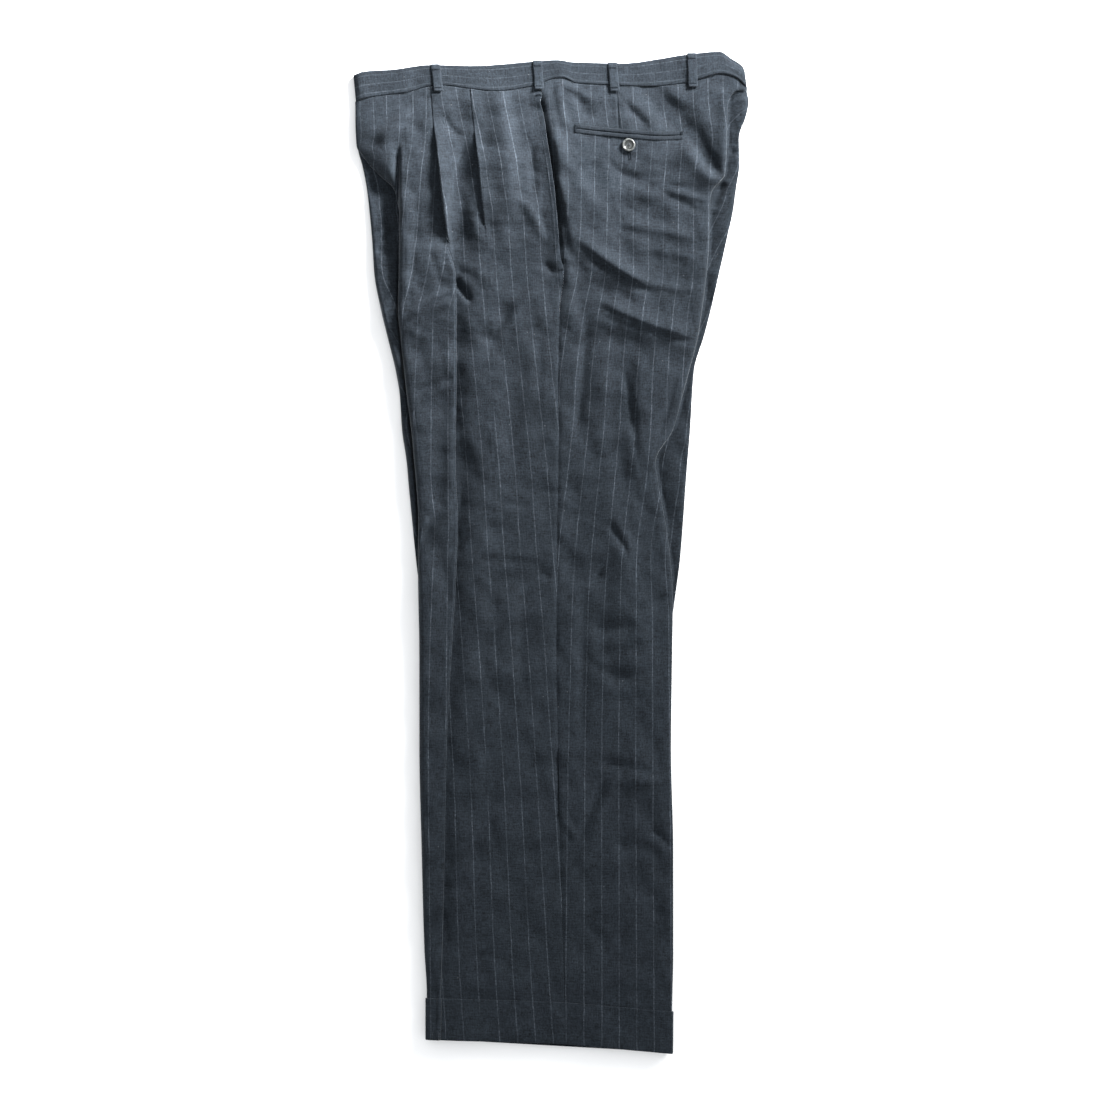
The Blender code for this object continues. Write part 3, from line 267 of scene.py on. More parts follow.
# Folds of the cloth in each area: a ridge (or, with a negative rise, a trough) from one end to the other,
# bowed sideways, fading over soft_left and soft_right of its line. Those of LEFT_LEG cross all its areas.
Fold = namedtuple("Fold", "x0 y0 x1 y1 bow rise soft_left soft_right")
FOLDS = {
    LEFT_LEG: (
        # The seat's trough and the long swells from there to the hem.
        (107, 499, 179, 406, 3, -6.2, 11, 15), (146, 455, 184, 399, -9, 4.1, 9, 9),
        (64, 409, 110, 391, 2, -2.4, 9, 11), (29, 323, 103, 280, -3, 4.6, 20, 10),
        (49, 256, 151, 225, -2, 5, 20, 10), (38, 239, 138, 207, 0, -2, 12, 14),
        (-183, 440, -151, 477, 3, 2.1, 10, 10), (-101, 470, -89, 330, 2, -0.8, 12, 10),
        (-58, 299, -36, 39, 4, -2.1, 16, 16), (56, 99, 96, -151, 6, 3.8, 16, 18),
        (75, -213, 109, -253, 2, 3.2, 14, 14), (-8, 66, 30, 66, 0, -1.5, 2.5, 3)),
    SIDE: (
        # The yoke and the side pocket's mouth and bag.
        (-60, 506, -47, 448, 2, 4.4, 8, 15), (-49, 462, -41, 364, 0, 6.4, 7, 19),
        (2, 458, 13, 335, 0, 5, 6, 12), (-36, 384, -10, 339, 4, 3.2, 4, 4),
        (-21, 435, -18, 383, 0, -2.7, 4, 4), (-7, 312, 3, 303, 0, -2.4, 4, 4),
        # The thigh.
        (-6, 295, -56, 234, -3, 2.5, 5, 7), (-42, 266, -79, 217, 4, -3.2, 5, 5),
        (-70, 292, -86, 230, -2, 2.2, 5, 5), (-13, 225, -13, 163, 0, -2, 5, 5),
        # From the knee to the hem.
        (-28, -40, -27, -159, -5, -2.2, 6, 6), (-62, -40, -59, -137, 0, -1.5, 6, 6),
        (-67, -7, -16, -11, 0, -2.1, 4, 5), (-13, -23, 0, -26, 0, -2.2, 3, 3),
        (-55, 55, -22, 50, 0, -1.2, 4, 5), (-19, -317, -19, -336, 0, -2.1, 4, 4),
        (-76, -438, -64, -429, 0, -1.8, 3, 4), (-101, -447, -73, -473, 0, 2.1, 5, 5),
        (5, -213, 10, -283, 0, -1.5, 4, 4),
        # The wide swell over the hip.
        (-110, 400, -12, 400, 0, 3.6, 40, 56)),
    CREASE_BACK: (
        # The long trough behind the crease.
        (-104, 318, -106, -120, 0, -2.3, 16, 14),
        # The first and second pleats.
        (-88.5, 520, -71, 352, 0, 1.5, 3, 9), (-124, 452, -109, 328, 0, 3.6, 7, 3),
        (-93, 442, -104, 320, -8, -8, 21, 4), (-117, 470, -99, 449, -1, -3.4, 3.5, 4),
        (-97, 392, -90, 338, 0, -1.2, 3, 7), (-86, 385, -81, 342, 0, 1.4, 4, 4),
        # The valley behind the crease, and its foot.
        (-107, 300, -105, 35, 0, -5.2, 18, 8), (-106, 75, -115, -250, 0, -4.2, 14, 6),
        (-113, -215, -119, -560, 0, -2.4, 8, 4), (-102, 305, -80, 297, 0, -1.6, 4, 4),
        (-102, 293, -86, 271, 0, -5, 3, 4),
        # The wide swell over the hip.
        (-160, 400, -20, 400, 0, 3.6, 40, 56)),
    CREASE_FRONT: (
        # The hip in front of the pleats.
        (-122, 440, -104, 300, 0, 3, 3, 20), (-183, 442, -154, 475, 2, 2.7, 5, 6),
        (-164, 437, -164.5, 372, 0, -6, 2, 5), (-133.5, 520, -126.5, 450, 0, 1.7, 3, 11),
        (-210, 448, -166, 396, -4, 0.6, 5, 6), (-159, 392, -159, 330, 0, 1.4, 7, 4),
        (-144, 385, -153, 273, 2, -1.7, 4, 4), (-130, 326, -117, 285, 0, -1.5, 3.5, 3.5),
        # The thigh.
        (-153, 252, -108, 282, 3, 3.7, 5, 3), (-143, 236, -113, 264, 3, -2.7, 3, 6),
        (-143, 173, -105, 187, 2, -2.2, 3.5, 5), (-110, 230, -110, 193, 0, 1.9, 4, 5),
        (-108, 174, -110, -8, 0, 1.4, 4, 5),
        # From the knee to the hem.
        (-145, 18, -133, 36, 0, 3.6, 3, 3), (-139, 13, -120, 40, 0, -3.2, 3, 5),
        (-137, -469, -118, -475, 0, -1.8, 4, 5), (-149, 150, -137, -60, 0, 2.6, 26, 5),
        (-137, -20, -134, -420, 0, 3.2, 24, 5),
        # The wide swell over the hip, and its hollow beside the pleat.
        (-200, 400, -60, 400, 0, 3.6, 40, 56), (-126, 446, -109, 314, 0, -3.6, 6, 17)),
    BACK: (
        # The hip beside the side seam.
        (5, 474, 12, 395, 0, 3.5, 14, 5), (11, 400, 27, 326, 0, 5.5, 38, 5),
        # The seat's trough and roll.
        (103, 504, 159, 443, 3, -5.4, 4.5, 6.5), (153, 450, 182, 406, 3, -4, 5, 8),
        (145, 440, 179, 399, -5, 5.1, 5.5, 14), (159, 458, 172, 414, -2, -2.4, 4, 5),
        (188, 489, 185, 403, 0, 2.2, 4, 6),
        # The yoke, its dart and the hip's point.
        (124, 502, 165, 472, 2, 1.4, 7, 8), (88, 487, 111, 461, 1, 1.7, 4, 5),
        (71, 506, 73.4, 457, 0, -1.3, 1.1, 1.1), (80, 484, 106, 460, -1, -2, 3, 3.5),
        (8, 508, 17, 459, -2, 3.1, 4, 4), (12, 506, 46, 485, 2, 2.2, 4, 4),
        (24, 497, 40, 468, 0, -3.4, 9, 4), (-4, 467, 53, 370, -6, 2.3, 7, 9),
        # Below the back pocket and the seat.
        (59, 424, 95, 403, -3, -1.5, 4, 5), (91, 405, 149, 392, 2, -1.4, 4, 5),
        (107, 401, 144, 398, 0, 1.7, 4, 3), (80, 395, 119, 381, -2, 2.5, 6, 9),
        (119, 392, 164, 367, -2, -2.2, 3.5, 5), (127, 389, 167, 380, 0, 2, 3.5, 3),
        (75, 376, 120, 355, -3, -0.9, 6, 8), (78, 355, 149, 340, 1, 2.7, 7, 5),
        (76, 346, 151, 331, 1, -1.1, 5, 7), (96, 327, 161, 317, 0, 1.5, 6, 5),
        # The two long folds across the thigh, and the valleys below them.
        (33, 335, 107, 287, -3, 4.8, 9, 3), (38, 323, 104, 282, -3, -3.2, 3.5, 9),
        (109, 289, 152, 282, -1, 2, 5, 3), (56, 269, 149, 233, -3, 4.1, 9, 2.6),
        (56, 255, 149, 228, -3, -2.6, 3, 8), (20, 314, 23, 241, 0, 2, 6, 6),
        (39, 253, 28, 126, 1, -3.2, 5, 5), (80, 191, 91, 104, 3, -3.7, 5, 5),
        (58, 219, 54, 111, 0, 1.9, 9, 9), (100, 224, 90, 82, 0, 5.4, 26, 10),
        (134, 187, 115, 122, 1, -1.7, 4, 4),
        # The knee and the calf.
        (62, 32, 82, 0, 1, -4.3, 4, 4), (42, -35, 56, -20, 0, -3.2, 3, 3),
        (35, -40, 34, -202, 0, -2.9, 6, 6), (48, -82, 90, -76, -2, -3.9, 5, 6),
        (90, -65, 124, -47, 0, -3.5, 6, 6), (57, -101, 107, -89, 0, 2.7, 6, 6),
        (42, -119, 90, -133, -4, -3.5, 5, 6), (90, -132, 131, -126, 0, -1.8, 6, 6),
        (60, -149, 107, -147, 0, 2, 6, 6),
        # The shin.
        (52, -225, 109, -236, 1, -3.5, 3.5, 4.5), (60, -245, 116, -245, 0, 2.9, 3, 6),
        (61, -243, 32, -308, -2, -3.5, 4, 4), (70, -248, 44, -317, -3, 2.3, 5, 5),
        (108, -298, 132, -319, 0, -4.7, 5, 4), (70, -314, 114, -319, 0, -3.2, 8, 8),
        (10, -280, 27, -308, 0, 2.7, 3.5, 3.5),
        # The ankle and the hem.
        (74, -355, 121, -377, 2, -2, 8, 8), (41, -403, 59, -425, 0, -2.7, 6, 6),
        (96, -381, 127, -392, 0, -2, 5, 6), (52, -443, 106, -470, 0, 1.8, 10, 10)),
    RIGHT_STRIPS: (
        # The strip that shows in front.
        (-201, 400, -193, 338, 0, 1.9, 4, 4), (-182, 385, -175, 327, 0, -2.4, 5, 4),
        (-178, 350, -191, 336, 0, 1.9, 3, 3), (-188, 328, -166, 322, 0, -2.9, 5, 5),
        (-186, 313, -174, 272, 0, 1.4, 5, 5), (-165, 283, -181, 264, 0, 1.8, 3, 3),
        (-182, 265, -179, 241, 0, 1.2, 3, 3), (-160, 181, -158, 149, 0, -1.8, 4, 4),
        # The strip that shows behind.
        (194, 432, 209, 431, 0, -2.4, 3, 3), (190, 418, 202, 428, 0, 1.7, 3, 3),
        (190, 484, 211, 490, 0, 1.2, 3, 3), (186, 398, 176, 372, 0, -3.6, 4, 6)),
}
FOLD_END = 0.35            # share of a fold's length over which each end fades
FOLD_BEYOND = 0.15         # and how far past its end that starts


def eased(t):
    t = np.clip(t, 0.0, 1.0)
    return t * t * (3.0 - 2.0 * t)


def mix(a, b, t):
    return a + (b - a) * t


def beside(*parts):
    """Rows of points set end to end."""
    return np.concatenate(parts, axis=1)


def plan_y(x, y):
    """Bend nominal rows near the waist with the waist seam, and near the hem with its slope."""
    at_waist = eased((y - WAIST_BLEND_Y) / (WAIST_Y - WAIST_BLEND_Y))
    at_hem = eased((HEM_BLEND_Y - y) / HEM_BLEND_RUN)
    return y + at_waist * WAIST_SEAM.rise(x) + at_hem * HEM_SLOPE.rise(x)


def hump(distance, width):
    """A smooth hump, 1 at its middle and fading to nothing over its width."""
    return np.exp(-(distance / width) ** 2)


def relief(x, y, area):
    """Sum of the folds of one area at places on the cloth."""
    total = np.zeros(np.broadcast(x, y).shape)
    for row in (FOLDS[LEFT_LEG] if area != RIGHT_STRIPS else ()) + FOLDS[area]:
        fold = Fold(*row)
        along_x, along_y = fold.x1 - fold.x0, fold.y1 - fold.y0
        length = math.hypot(along_x, along_y)
        t = ((x - fold.x0) * along_x + (y - fold.y0) * along_y) / length ** 2
        away = (along_x * (y - fold.y0) - along_y * (x - fold.x0)) / length
        away = away - fold.bow * 4.0 * t * (1.0 - t)
        soft = np.where(away > 0, fold.soft_left, fold.soft_right)
        ends = eased((t + FOLD_BEYOND) / FOLD_END) * eased((1.0 + FOLD_BEYOND - t) / FOLD_END)
        total += fold.rise * ends * hump(away, soft)
    return total


def waves(seed, count, shortest, longest, height):
    """A repeatable set of plane waves: direction and frequency, phase and height of each."""
    draw = np.random.default_rng(seed)
    angle = draw.uniform(0, np.pi, count)
    number = 2 * np.pi / np.exp(draw.uniform(np.log(shortest), np.log(longest), count))
    return list(zip(number * np.cos(angle), number * np.sin(angle), draw.uniform(0, 2 * np.pi, count),
                    height * 2 * np.pi / number / longest))


SLACK = waves(11, 26, 24.0, 80.0, 0.42) + waves(3, 18, 13.0, 26.0, 0.09) + waves(5, 22, 6.0, 12.0, 0.05)


def unevenness(x, y):
    """The small slack of laid cloth."""
    return sum(height * np.cos(a * x + b * y + phase) for a, b, phase, height in SLACK)


def fold_x(side, y):
    """The left leg's fold line, at the front for side -1 and at the back for side 1."""
    return SECTION.up_front(y) if side < 0 else BACK_FOLD.x(y)


def hidden_edge(side, y):
    """The far edge of a panel between the legs: the seam down to the crotch, then the inseam."""
    return np.where(y < CROTCH_Y, INSEAM.x(y), RISE.front(y) if side < 0 else RISE.back(y))


def lower_top(x, y, side):
    """Height of the right leg's upper face: its showing strip, settling where the left leg covers it."""
    strip = STACK.front_strip(y) if side < 0 else STACK.back_strip(y)
    inside = (fold_x(side, y) - x) * side
    settled = np.clip((inside - TURN_BACK) / (SETTLE_RUN - TURN_BACK), 0.0, 1.0)
    return STACK.under(y) + mix(strip, STACK.covered(y), settled)


def upper_under(x, y, side):
    """Height of the left leg's underside, which lies on the right leg."""
    return lower_top(x, y, side) + STACK.lift(y)


def heading_vector(degrees):
    """Outward and upward parts of a heading that turns from outward, through down, to back under."""
    return np.cos(np.radians(degrees)), -np.sin(np.radians(degrees))


def bezier(start, start_dir, pull_out, end, end_dir, pull_in, t):
    a = (start[0] + start_dir[0] * pull_out, start[1] + start_dir[1] * pull_out)
    b = (end[0] - end_dir[0] * pull_in, end[1] - end_dir[1] * pull_in)
    w = ((1 - t) ** 3, 3 * t * (1 - t) ** 2, 3 * t * t * (1 - t), t ** 3)
    return tuple(w[0] * start[k] + w[1] * a[k] + w[2] * b[k] + w[3] * end[k] for k in (0, 1))


def pleat_steps(turn, run):
    """Cloth that turns down by an angle, runs flat and turns back: its moves outward and up."""
    shares = [(i + 0.5) / ARC_STEPS for i in range(ARC_STEPS)]
    rolled = eased(np.abs(turn - ROLL_TURN) / ROLL_RANGE)
    arc = PLEAT_ARC / ARC_STEPS * (LEAST_ARC + (1.0 - LEAST_ARC) * rolled)
    moves = [(arc, turn * share) for share in shares]
    moves += [(run * 0.5, turn), (run * 0.5, turn)]
    moves += [(arc, turn * share) for share in reversed(shares)]
    return [np.cumsum(beside(*(length * heading_vector(degrees)[k] for length, degrees in moves)), axis=1)
            for k in (0, 1)]


def face_height(x, y, side, passed):
    """Middle of the left side's face, with the layers of the pleats that lie on this side of each fold."""
    seen = plan_y(x, y)
    settled = eased((WAIST_Y - y) / SLACK_START)
    z = STACK.top(y) - WALL / 2 + relief(x, seen, BACK if side > 0 else passed)
    z = z + settled * unevenness(x, seen)
    for number, (line, turn, run, spread) in enumerate((
            (SECTION.pleat, PLEAT.second_turn, PLEAT.second_run, PLEAT_SPREAD),
            (SECTION.crease, PLEAT.first_turn, PLEAT.first_run, CREASE_SPREAD))):
        drop = -pleat_steps(turn(y), run(y))[1][:, -1:]
        near = np.exp(-np.abs(x - line(y)) / spread)
        far = np.exp(-np.abs(x - line(y)) / STEP_SPREAD)
        z = z + (np.minimum(drop, 0.0) * -far if passed > number else np.maximum(drop, 0.0) * near)
    return z


def pocket_lap(y, margin=0.0):
    """1 along the side pocket's mouth and 0 beyond its ends, or beyond a margin past them."""
    low = eased((y - POCKET_LOW + margin) / LAP_EASE_LOW)
    return low * eased((POCKET_HIGH - y + margin * 0.6) / LAP_EASE_HIGH)


def rounded_edge(height, lowest, inside):
    """Let the face roll down to its fold over the last stretch inside it."""
    return mix(height, np.maximum(lowest, height - EDGE_DROP), eased(1.0 - inside / EDGE_RUN) ** 2)


def meeting_height(y):
    return np.minimum(MEETING_HEIGHT, STACK.top(y) * 0.5)


def section_end(side, y, end, heading, laid, height_at):
    """Last points of a section: a short stub where it ends edge to edge, or the hidden layer."""
    fold_out = side * fold_x(side, y)
    far = np.minimum(side * hidden_edge(side, y) + SEAM_GAP / 2, end[0] - EDGE_STUB)
    step = EDGE_STUB / 3
    points = []
    for i, station in enumerate((fold_out - TURN_BACK, fold_out - SETTLE_RUN, far), 1):
        stub = (end[0] + heading[0] * step * i, end[1] + heading[1] * step * i)
        out = np.minimum(np.maximum(station, far + step * (3 - i)), end[0] - step * i)
        points.append((mix(stub[0], out, laid), mix(stub[1], height_at(side * out), laid)))
    return points


def crowded(t, share):
    """Shares from 0 to 1 moved closer together near both ends."""
    return t - share * np.sin(2 * np.pi * t) / (2 * np.pi)


def stations(start, stop, count):
    """Places from start to stop, start left out, closer together near both ends."""
    return start + (stop - start) * crowded(np.arange(1, count + 1) / count, 0.6)


def stripe_count(x, y, side, passed):
    """Number of pinstripes passed across the cloth, whole on each stripe."""
    seen = plan_y(x, y)
    if side > 0:
        away = x - BACK_STRIPES.x(seen)
        return away / np.where(away < 0, BACK_STRIPES.pitch_front(seen), BACK_STRIPES.pitch_back(seen))
    if passed < CREASE_FRONT:
        return (x - SIDE_STRIPES.x(seen)) / SIDE_STRIPES.pitch(seen)
    return (x - CREASE_STRIPES.x(seen)) / CREASE_STRIPES.pitch(seen) + CREASE_STRIPE_STEP


def along(out, z):
    """Length of cloth from the first point of each row."""
    step = np.hypot(np.diff(out, axis=1), np.diff(z, axis=1))
    return beside(np.zeros((len(step), 1)), np.cumsum(step, axis=1))


SEAM_STATIONS = np.array([[0.0, 0.5, 1.2, 2.1, 3.3, 5.0, 7.5, 10.5]])
MOUTH_GAPE = 0.6           # the pocket's mouth stands open by this
MOUTH_DIP = 3.2            # the cloth behind it sinks by this
MOUTH_SHOULDER = 1.1       # and swells beside it by this
MOUTH_SHIFT = 2.4          # the open mouth's edge lies this far in front of its seam
MOUTH_SOFT = 9.0           # how far its shape fades over the cloth beside it
DIP_PLACE, DIP_WIDTH = 0.5, 2.4        # how far behind the mouth the dip and the shoulder lie, and widths
SHOULDER_PLACE, SHOULDER_WIDTH = 8.5, 6.0
LAP_MARGIN, LAP_FADE = 20.0, 12.0      # the raised front fades this far past the lap's ends, and inward
SEAM_VALLEY, SEAM_WIDTH = 1.0, 2.4     # depth and width of the side seam below and above the pocket
PUFF_START, PUFF_RUN = 7.0, 15.0       # the puff rises over this run, from this far outside the fold
JOIN_RUN = 9.0             # what a pleat leaves above the face beyond it fades over this
CLOSING_TURN = 60.0        # degrees of turn over which a pleat closes or opens
PLAIN_TURN, PLAIN_RANGE = 30.0, 140.0  # around this turn, and this far from it, the fold shows no pinstripe
LAID_TURN, LAID_RANGE = 120.0, 60.0    # beyond this turn a panel's end comes to lie flat under its fold
OWN_FOLDS, OWN_RANGE = 0.4, 0.45       # share of the roll over a fold line from which the folds fade
DART = ((495.0, 71.0), (460.3, 73.4))
DART_DRIFT, DART_RUN = 8.0, 250.0      # how far its line of mesh drifts on below its tip


def mouth_line(y):
    """The side pocket's open mouth, and the side seam beyond its ends."""
    return SECTION.side(y) - MOUTH_SHIFT * pocket_lap(y)


def left_face(out, y, side, passed):
    """Middle of a left panel's face: its folds, the pocket's mouth, the seam's valley and the puff."""
    x, lap = side * out, pocket_lap(y)
    away, inside = x - mouth_line(y), side * fold_x(side, y) - out
    height = face_height(x, y, side, passed)
    if side < 0:
        beyond_lap = np.maximum(0.0, -away - POCKET_LAP - 1.0)
        height = height + (WALL + 2 * SEAM_GAP) * pocket_lap(y, LAP_MARGIN) * np.exp(-beyond_lap / LAP_FADE)
        height = height + MOUTH_GAPE * lap * hump(away, MOUTH_SOFT)
    else:
        width = np.where(away > DIP_PLACE, DIP_WIDTH, MOUTH_SOFT)
        height = height - MOUTH_DIP * lap * hump(away - DIP_PLACE, width)
        height = height + MOUTH_SHOULDER * lap * hump(away - SHOULDER_PLACE, SHOULDER_WIDTH)
    height = height - SEAM_VALLEY * (1.0 - lap) * hump(x - SECTION.side(y), SEAM_WIDTH)
    height = height + PUFF.rise(y) * eased((inside + PUFF_START) / PUFF_RUN)
    lowest = upper_under(x, y, side) + 1.5 * WALL + HOLLOW
    return rounded_edge(np.maximum(height, lowest), lowest, inside)


def lay(parts, out, y, side, passed, join=0.0):
    """Add a run of the face to a section's parts; join is its first point's height above the face."""
    height = left_face(out, y, side, passed) + join * hump(out - out[:, :1], JOIN_RUN)
    parts.append((out, height, stripe_count(side * out, y, side, passed)))


def last_of(parts):
    """Outward place, height and stripe count of the last point laid in each row."""
    return [column[:, -1:] for column in parts[-1]]


def fold_pleat(parts, y, passed, turn, run):
    """Add the cloth that turns at a pleat's edge; gives how far it ends above the face beyond."""
    last_out, last_z, last_count = last_of(parts)
    out, up = pleat_steps(turn, run)
    out = last_out + out
    z = mix(last_z, left_face(out, y, -1, passed), eased(turn / 90.0)) + up
    arc = along(out, z) + PLEAT_ARC / ARC_STEPS
    closing = last_count - arc / STRIPE_PITCH
    opening = stripe_count(-out[:, -1:], y, -1, passed + 1) + (arc[:, -1:] - arc) / STRIPE_PITCH
    count = np.where(turn > 0, closing, opening)
    plain = eased(1.2 - np.abs(turn - PLAIN_TURN) / PLAIN_RANGE)
    parts.append((out, z, mix(count, np.floor(count) + 0.5, plain)))
    share = np.where(turn > 0, 1.9 - turn / CLOSING_TURN, 1.5 + turn / CLOSING_TURN)
    return (z[:, -1:] - left_face(out[:, -1:], y, -1, passed + 1)) * eased(share)


def lay_front(parts, y, knee):
    """Lay the left front from the side pocket's mouth over its two pleats to its knee."""
    lay(parts, -mouth_line(y) + SEAM_GAP / 2 + SEAM_STATIONS, y, -1, 0)
    join = 0.0
    for passed, (line, turn, run, count) in enumerate((
            (SECTION.pleat, PLEAT.second_turn(y), PLEAT.second_run(y), 22),
            (SECTION.crease, PLEAT.first_turn(y), PLEAT.first_run(y), 20))):
        stop = -line(y) - PLEAT_ARC / 3 + OVERHANG * eased(-turn / CLOSING_TURN)
        lay(parts, stations(last_of(parts)[0], stop, count), y, -1, passed, join)
        join = fold_pleat(parts, y, passed, turn, run)
    lay(parts, stations(last_of(parts)[0], knee, 24), y, -1, CREASE_FRONT, join)


def lay_back(parts, y, knee):
    """Lay the left back from under the side pocket's mouth over the dart to its knee."""
    start = SECTION.side(y) + SEAM_GAP / 2 - (POCKET_LAP + SEAM_GAP / 2) * pocket_lap(y)
    lay(parts, start + SEAM_STATIONS, y, 1, 0)
    drift = mix(0.0, DART_DRIFT, eased((DART[1][0] - y) / DART_RUN))
    dart_x = np.interp(y, *zip(*sorted(DART))) + drift
    for stop, count in ((dart_x, 27), (knee, 44)):
        lay(parts, stations(last_of(parts)[0], stop, count), y, 1, 0)


def turn_under(parts, side, y, knee):
    """Add the roll over the fold line and the hidden layer below it."""
    turns = FRONT_TURN if side < 0 else BACK_TURN
    heading_angle, lap_under = turns.heading(y), turns.lap(y)
    last_out, last_z, last_count = last_of(parts)
    laid_height = lambda x: upper_under(x, y, side) + WALL / 2
    under = eased((heading_angle - LAID_TURN) / LAID_RANGE)
    end_out = side * fold_x(side, y) + turns.reach(y)
    heading = heading_vector(heading_angle)
    lying = np.minimum(1.0, lap_under * 2.5)
    end_z = mix(meeting_height(y) + SEAM_GAP / 2, laid_height(side * end_out), lying)
    short = EDGE_STUB * (1.0 - under)
    end = (end_out - heading[0] * short, end_z - heading[1] * short)
    area, steps = (CREASE_FRONT, 36) if side < 0 else (BACK, 18)
    t = (np.arange(1, steps + 1) / steps)[None, :]
    own = relief(side * knee, plan_y(side * knee, y), area)
    out, z = bezier((last_out, last_z - own), (1.0, 0.0), turns.pull_out(y), end, heading,
                    turns.pull_in(y), t)
    shown = 1.0 - eased((t - OWN_FOLDS) / OWN_RANGE)
    z = z + relief(side * out, plan_y(side * out, y), area) * shown
    z = np.maximum(z, laid_height(side * out) * lap_under)
    ending = section_end(side, y, end, heading, under, laid_height)
    out = beside(last_out, out, *(point[0] for point in ending))
    z = beside(last_z, z, *(point[1] for point in ending))
    pitch = CREASE_STRIPES.pitch(y) if side < 0 else BACK_STRIPES.pitch_back(y)
    count = last_count + side * along(out, z)[:, 1:] / pitch
    parts.append((out[:, 1:], z[:, 1:], count))


def left_path(side, y):
    """Middle line of a left panel's section: outward places, heights and stripe counts, for rows y."""
    knee = side * fold_x(side, y) - KNEE
    parts = []
    (lay_front if side < 0 else lay_back)(parts, y, knee)
    turn_under(parts, side, y, knee)
    return tuple(beside(*column) for column in zip(*parts))


# How far the right leg's back strip sinks where it passes under the left leg's fold.
STRIP_SINK = table(
    "depth",
    (499.7, 0.0), (484.0, 0.0), (472.0, 3.2), (400.0, 3.8), (235.1, 3.2), (110.0, 3.8), (45.0, 3.4),
    (-10.0, 1.6), (-80.0, 0.5), (-540.0, 0.0))

# And how far its front strip swells beside the left leg.
STRIP_SWELL = table(
    "rise",
    (499.7, 0.0), (345.0, 0.0), (300.0, 3.6), (235.0, 5.0), (60.0, 4.6), (0.0, 2.2), (-45.0, 0.0),
    (-540.0, 0.0))
SINK_FADE, SWELL_FADE = 9.0, 3.5
RIGHT_SLACK_SHIFT = 40.0   # its slack is the left leg's, read this far away
RIGHT_STRIPE_SHIFT = 0.35


def right_path(side, y):
    """Middle line of a right panel's section, from its side seam on the surface to its far edge."""
    lap = (FRONT_TURN if side < 0 else BACK_TURN).lap(y)
    fold_out = side * fold_x(side, y)
    outline = side * (SECTION.low_front(y) if side < 0 else SECTION.low_back(y)) - WALL / 2
    seam_out = side * SECTION.side(y) + SEAM_GAP / 2
    knee = outline - KNEE
    flat_out = mix(seam_out, knee, np.linspace(0, 1, 8)[None, :])
    flat_z = np.broadcast_to(STACK.under(y) + WALL / 2, flat_out.shape)
    laid_height = lambda x: lower_top(x, y, side) - WALL / 2
    end = (outline - TURN_BACK * lap,
           mix(meeting_height(y) - SEAM_GAP / 2 - EDGE_STUB, laid_height(side * (outline - TURN_BACK)), lap))
    heading = (np.cos(np.radians(90.0 + 90.0 * lap)), np.sin(np.radians(90.0 + 90.0 * lap)))
    t = (np.arange(1, 15) / 14)[None, :]
    out, z = bezier((flat_out[:, -1:], flat_z[:, -1:]), (1.0, 0.0), mix(4.0, 7.6, lap), end, heading,
                    mix(1.2, 5.6, lap), t)
    ending = section_end(side, y, end, heading, lap, laid_height)
    share = (np.arange(1, 19) / 18)[None, :]
    strip_out, strip_z = mix(end[0], ending[0][0], share), mix(end[1], ending[0][1], share)

    def shaped(out, z, share):
        outside = out - fold_out
        x, seen = side * out, plan_y(side * out, y)
        own = relief(x, seen, RIGHT_STRIPS) + unevenness(x + RIGHT_SLACK_SHIFT, seen)
        if side > 0:
            own = own - STRIP_SINK.depth(y) * np.exp(-np.maximum(0.0, outside) / SINK_FADE)
        else:
            own = own + STRIP_SWELL.rise(y) * eased(outside / SWELL_FADE)
        return z + eased((outside + 1.0) / 5.0) * lap * share * own

    z = shaped(out, z, eased((t - 0.5) / 0.5))
    strip_z = shaped(strip_out, strip_z, 1.0)
    out = beside(flat_out, out, strip_out, *(point[0] for point in ending[1:]))
    z = beside(flat_z, z, strip_z, *(point[1] for point in ending[1:]))
    return out, z, side * along(out, z) / STRIPE_PITCH + RIGHT_STRIPE_SHIFT


def offset(out, z, distance):
    """Section lines moved to their left by a distance, square to themselves, with mitred corners."""
    step_out, step_z = np.diff(out, axis=1), np.diff(z, axis=1)
    length = np.maximum(np.hypot(step_out, step_z), 1e-9)
    normal = np.stack((-step_z / length, step_out / length))
    before = np.concatenate((normal[:, :, :1], normal), axis=2)
    after = np.concatenate((normal, normal[:, :, -1:]), axis=2)
    mean = (before + after) / 2
    size = np.maximum(0.7, (mean ** 2).sum(axis=0))
    return out + mean[0] / size * distance, z + mean[1] / size * distance


def quads(grid, flip=False):
    """The faces between neighbouring points of a grid of indices."""
    corners = (grid[:-1, :-1], grid[:-1, 1:], grid[1:, 1:], grid[1:, :-1])
    return np.stack(corners[::-1] if flip else corners, axis=-1).reshape(-1, 4)


def new_mesh(name, place, faces, grain, corners):
    """A smooth mesh of places in millimetres; corners say which grain each face corner has."""
    mesh = bpy.data.meshes.new(name)
    mesh.from_pydata((place.reshape(-1, 3) * MM).tolist(), [], faces)
    layer = mesh.uv_layers.new(name="grain")
    layer.data.foreach_set("uv", (grain.reshape(-1, 2)[corners] * MM).ravel())
    mesh.shade_smooth()
    return mesh


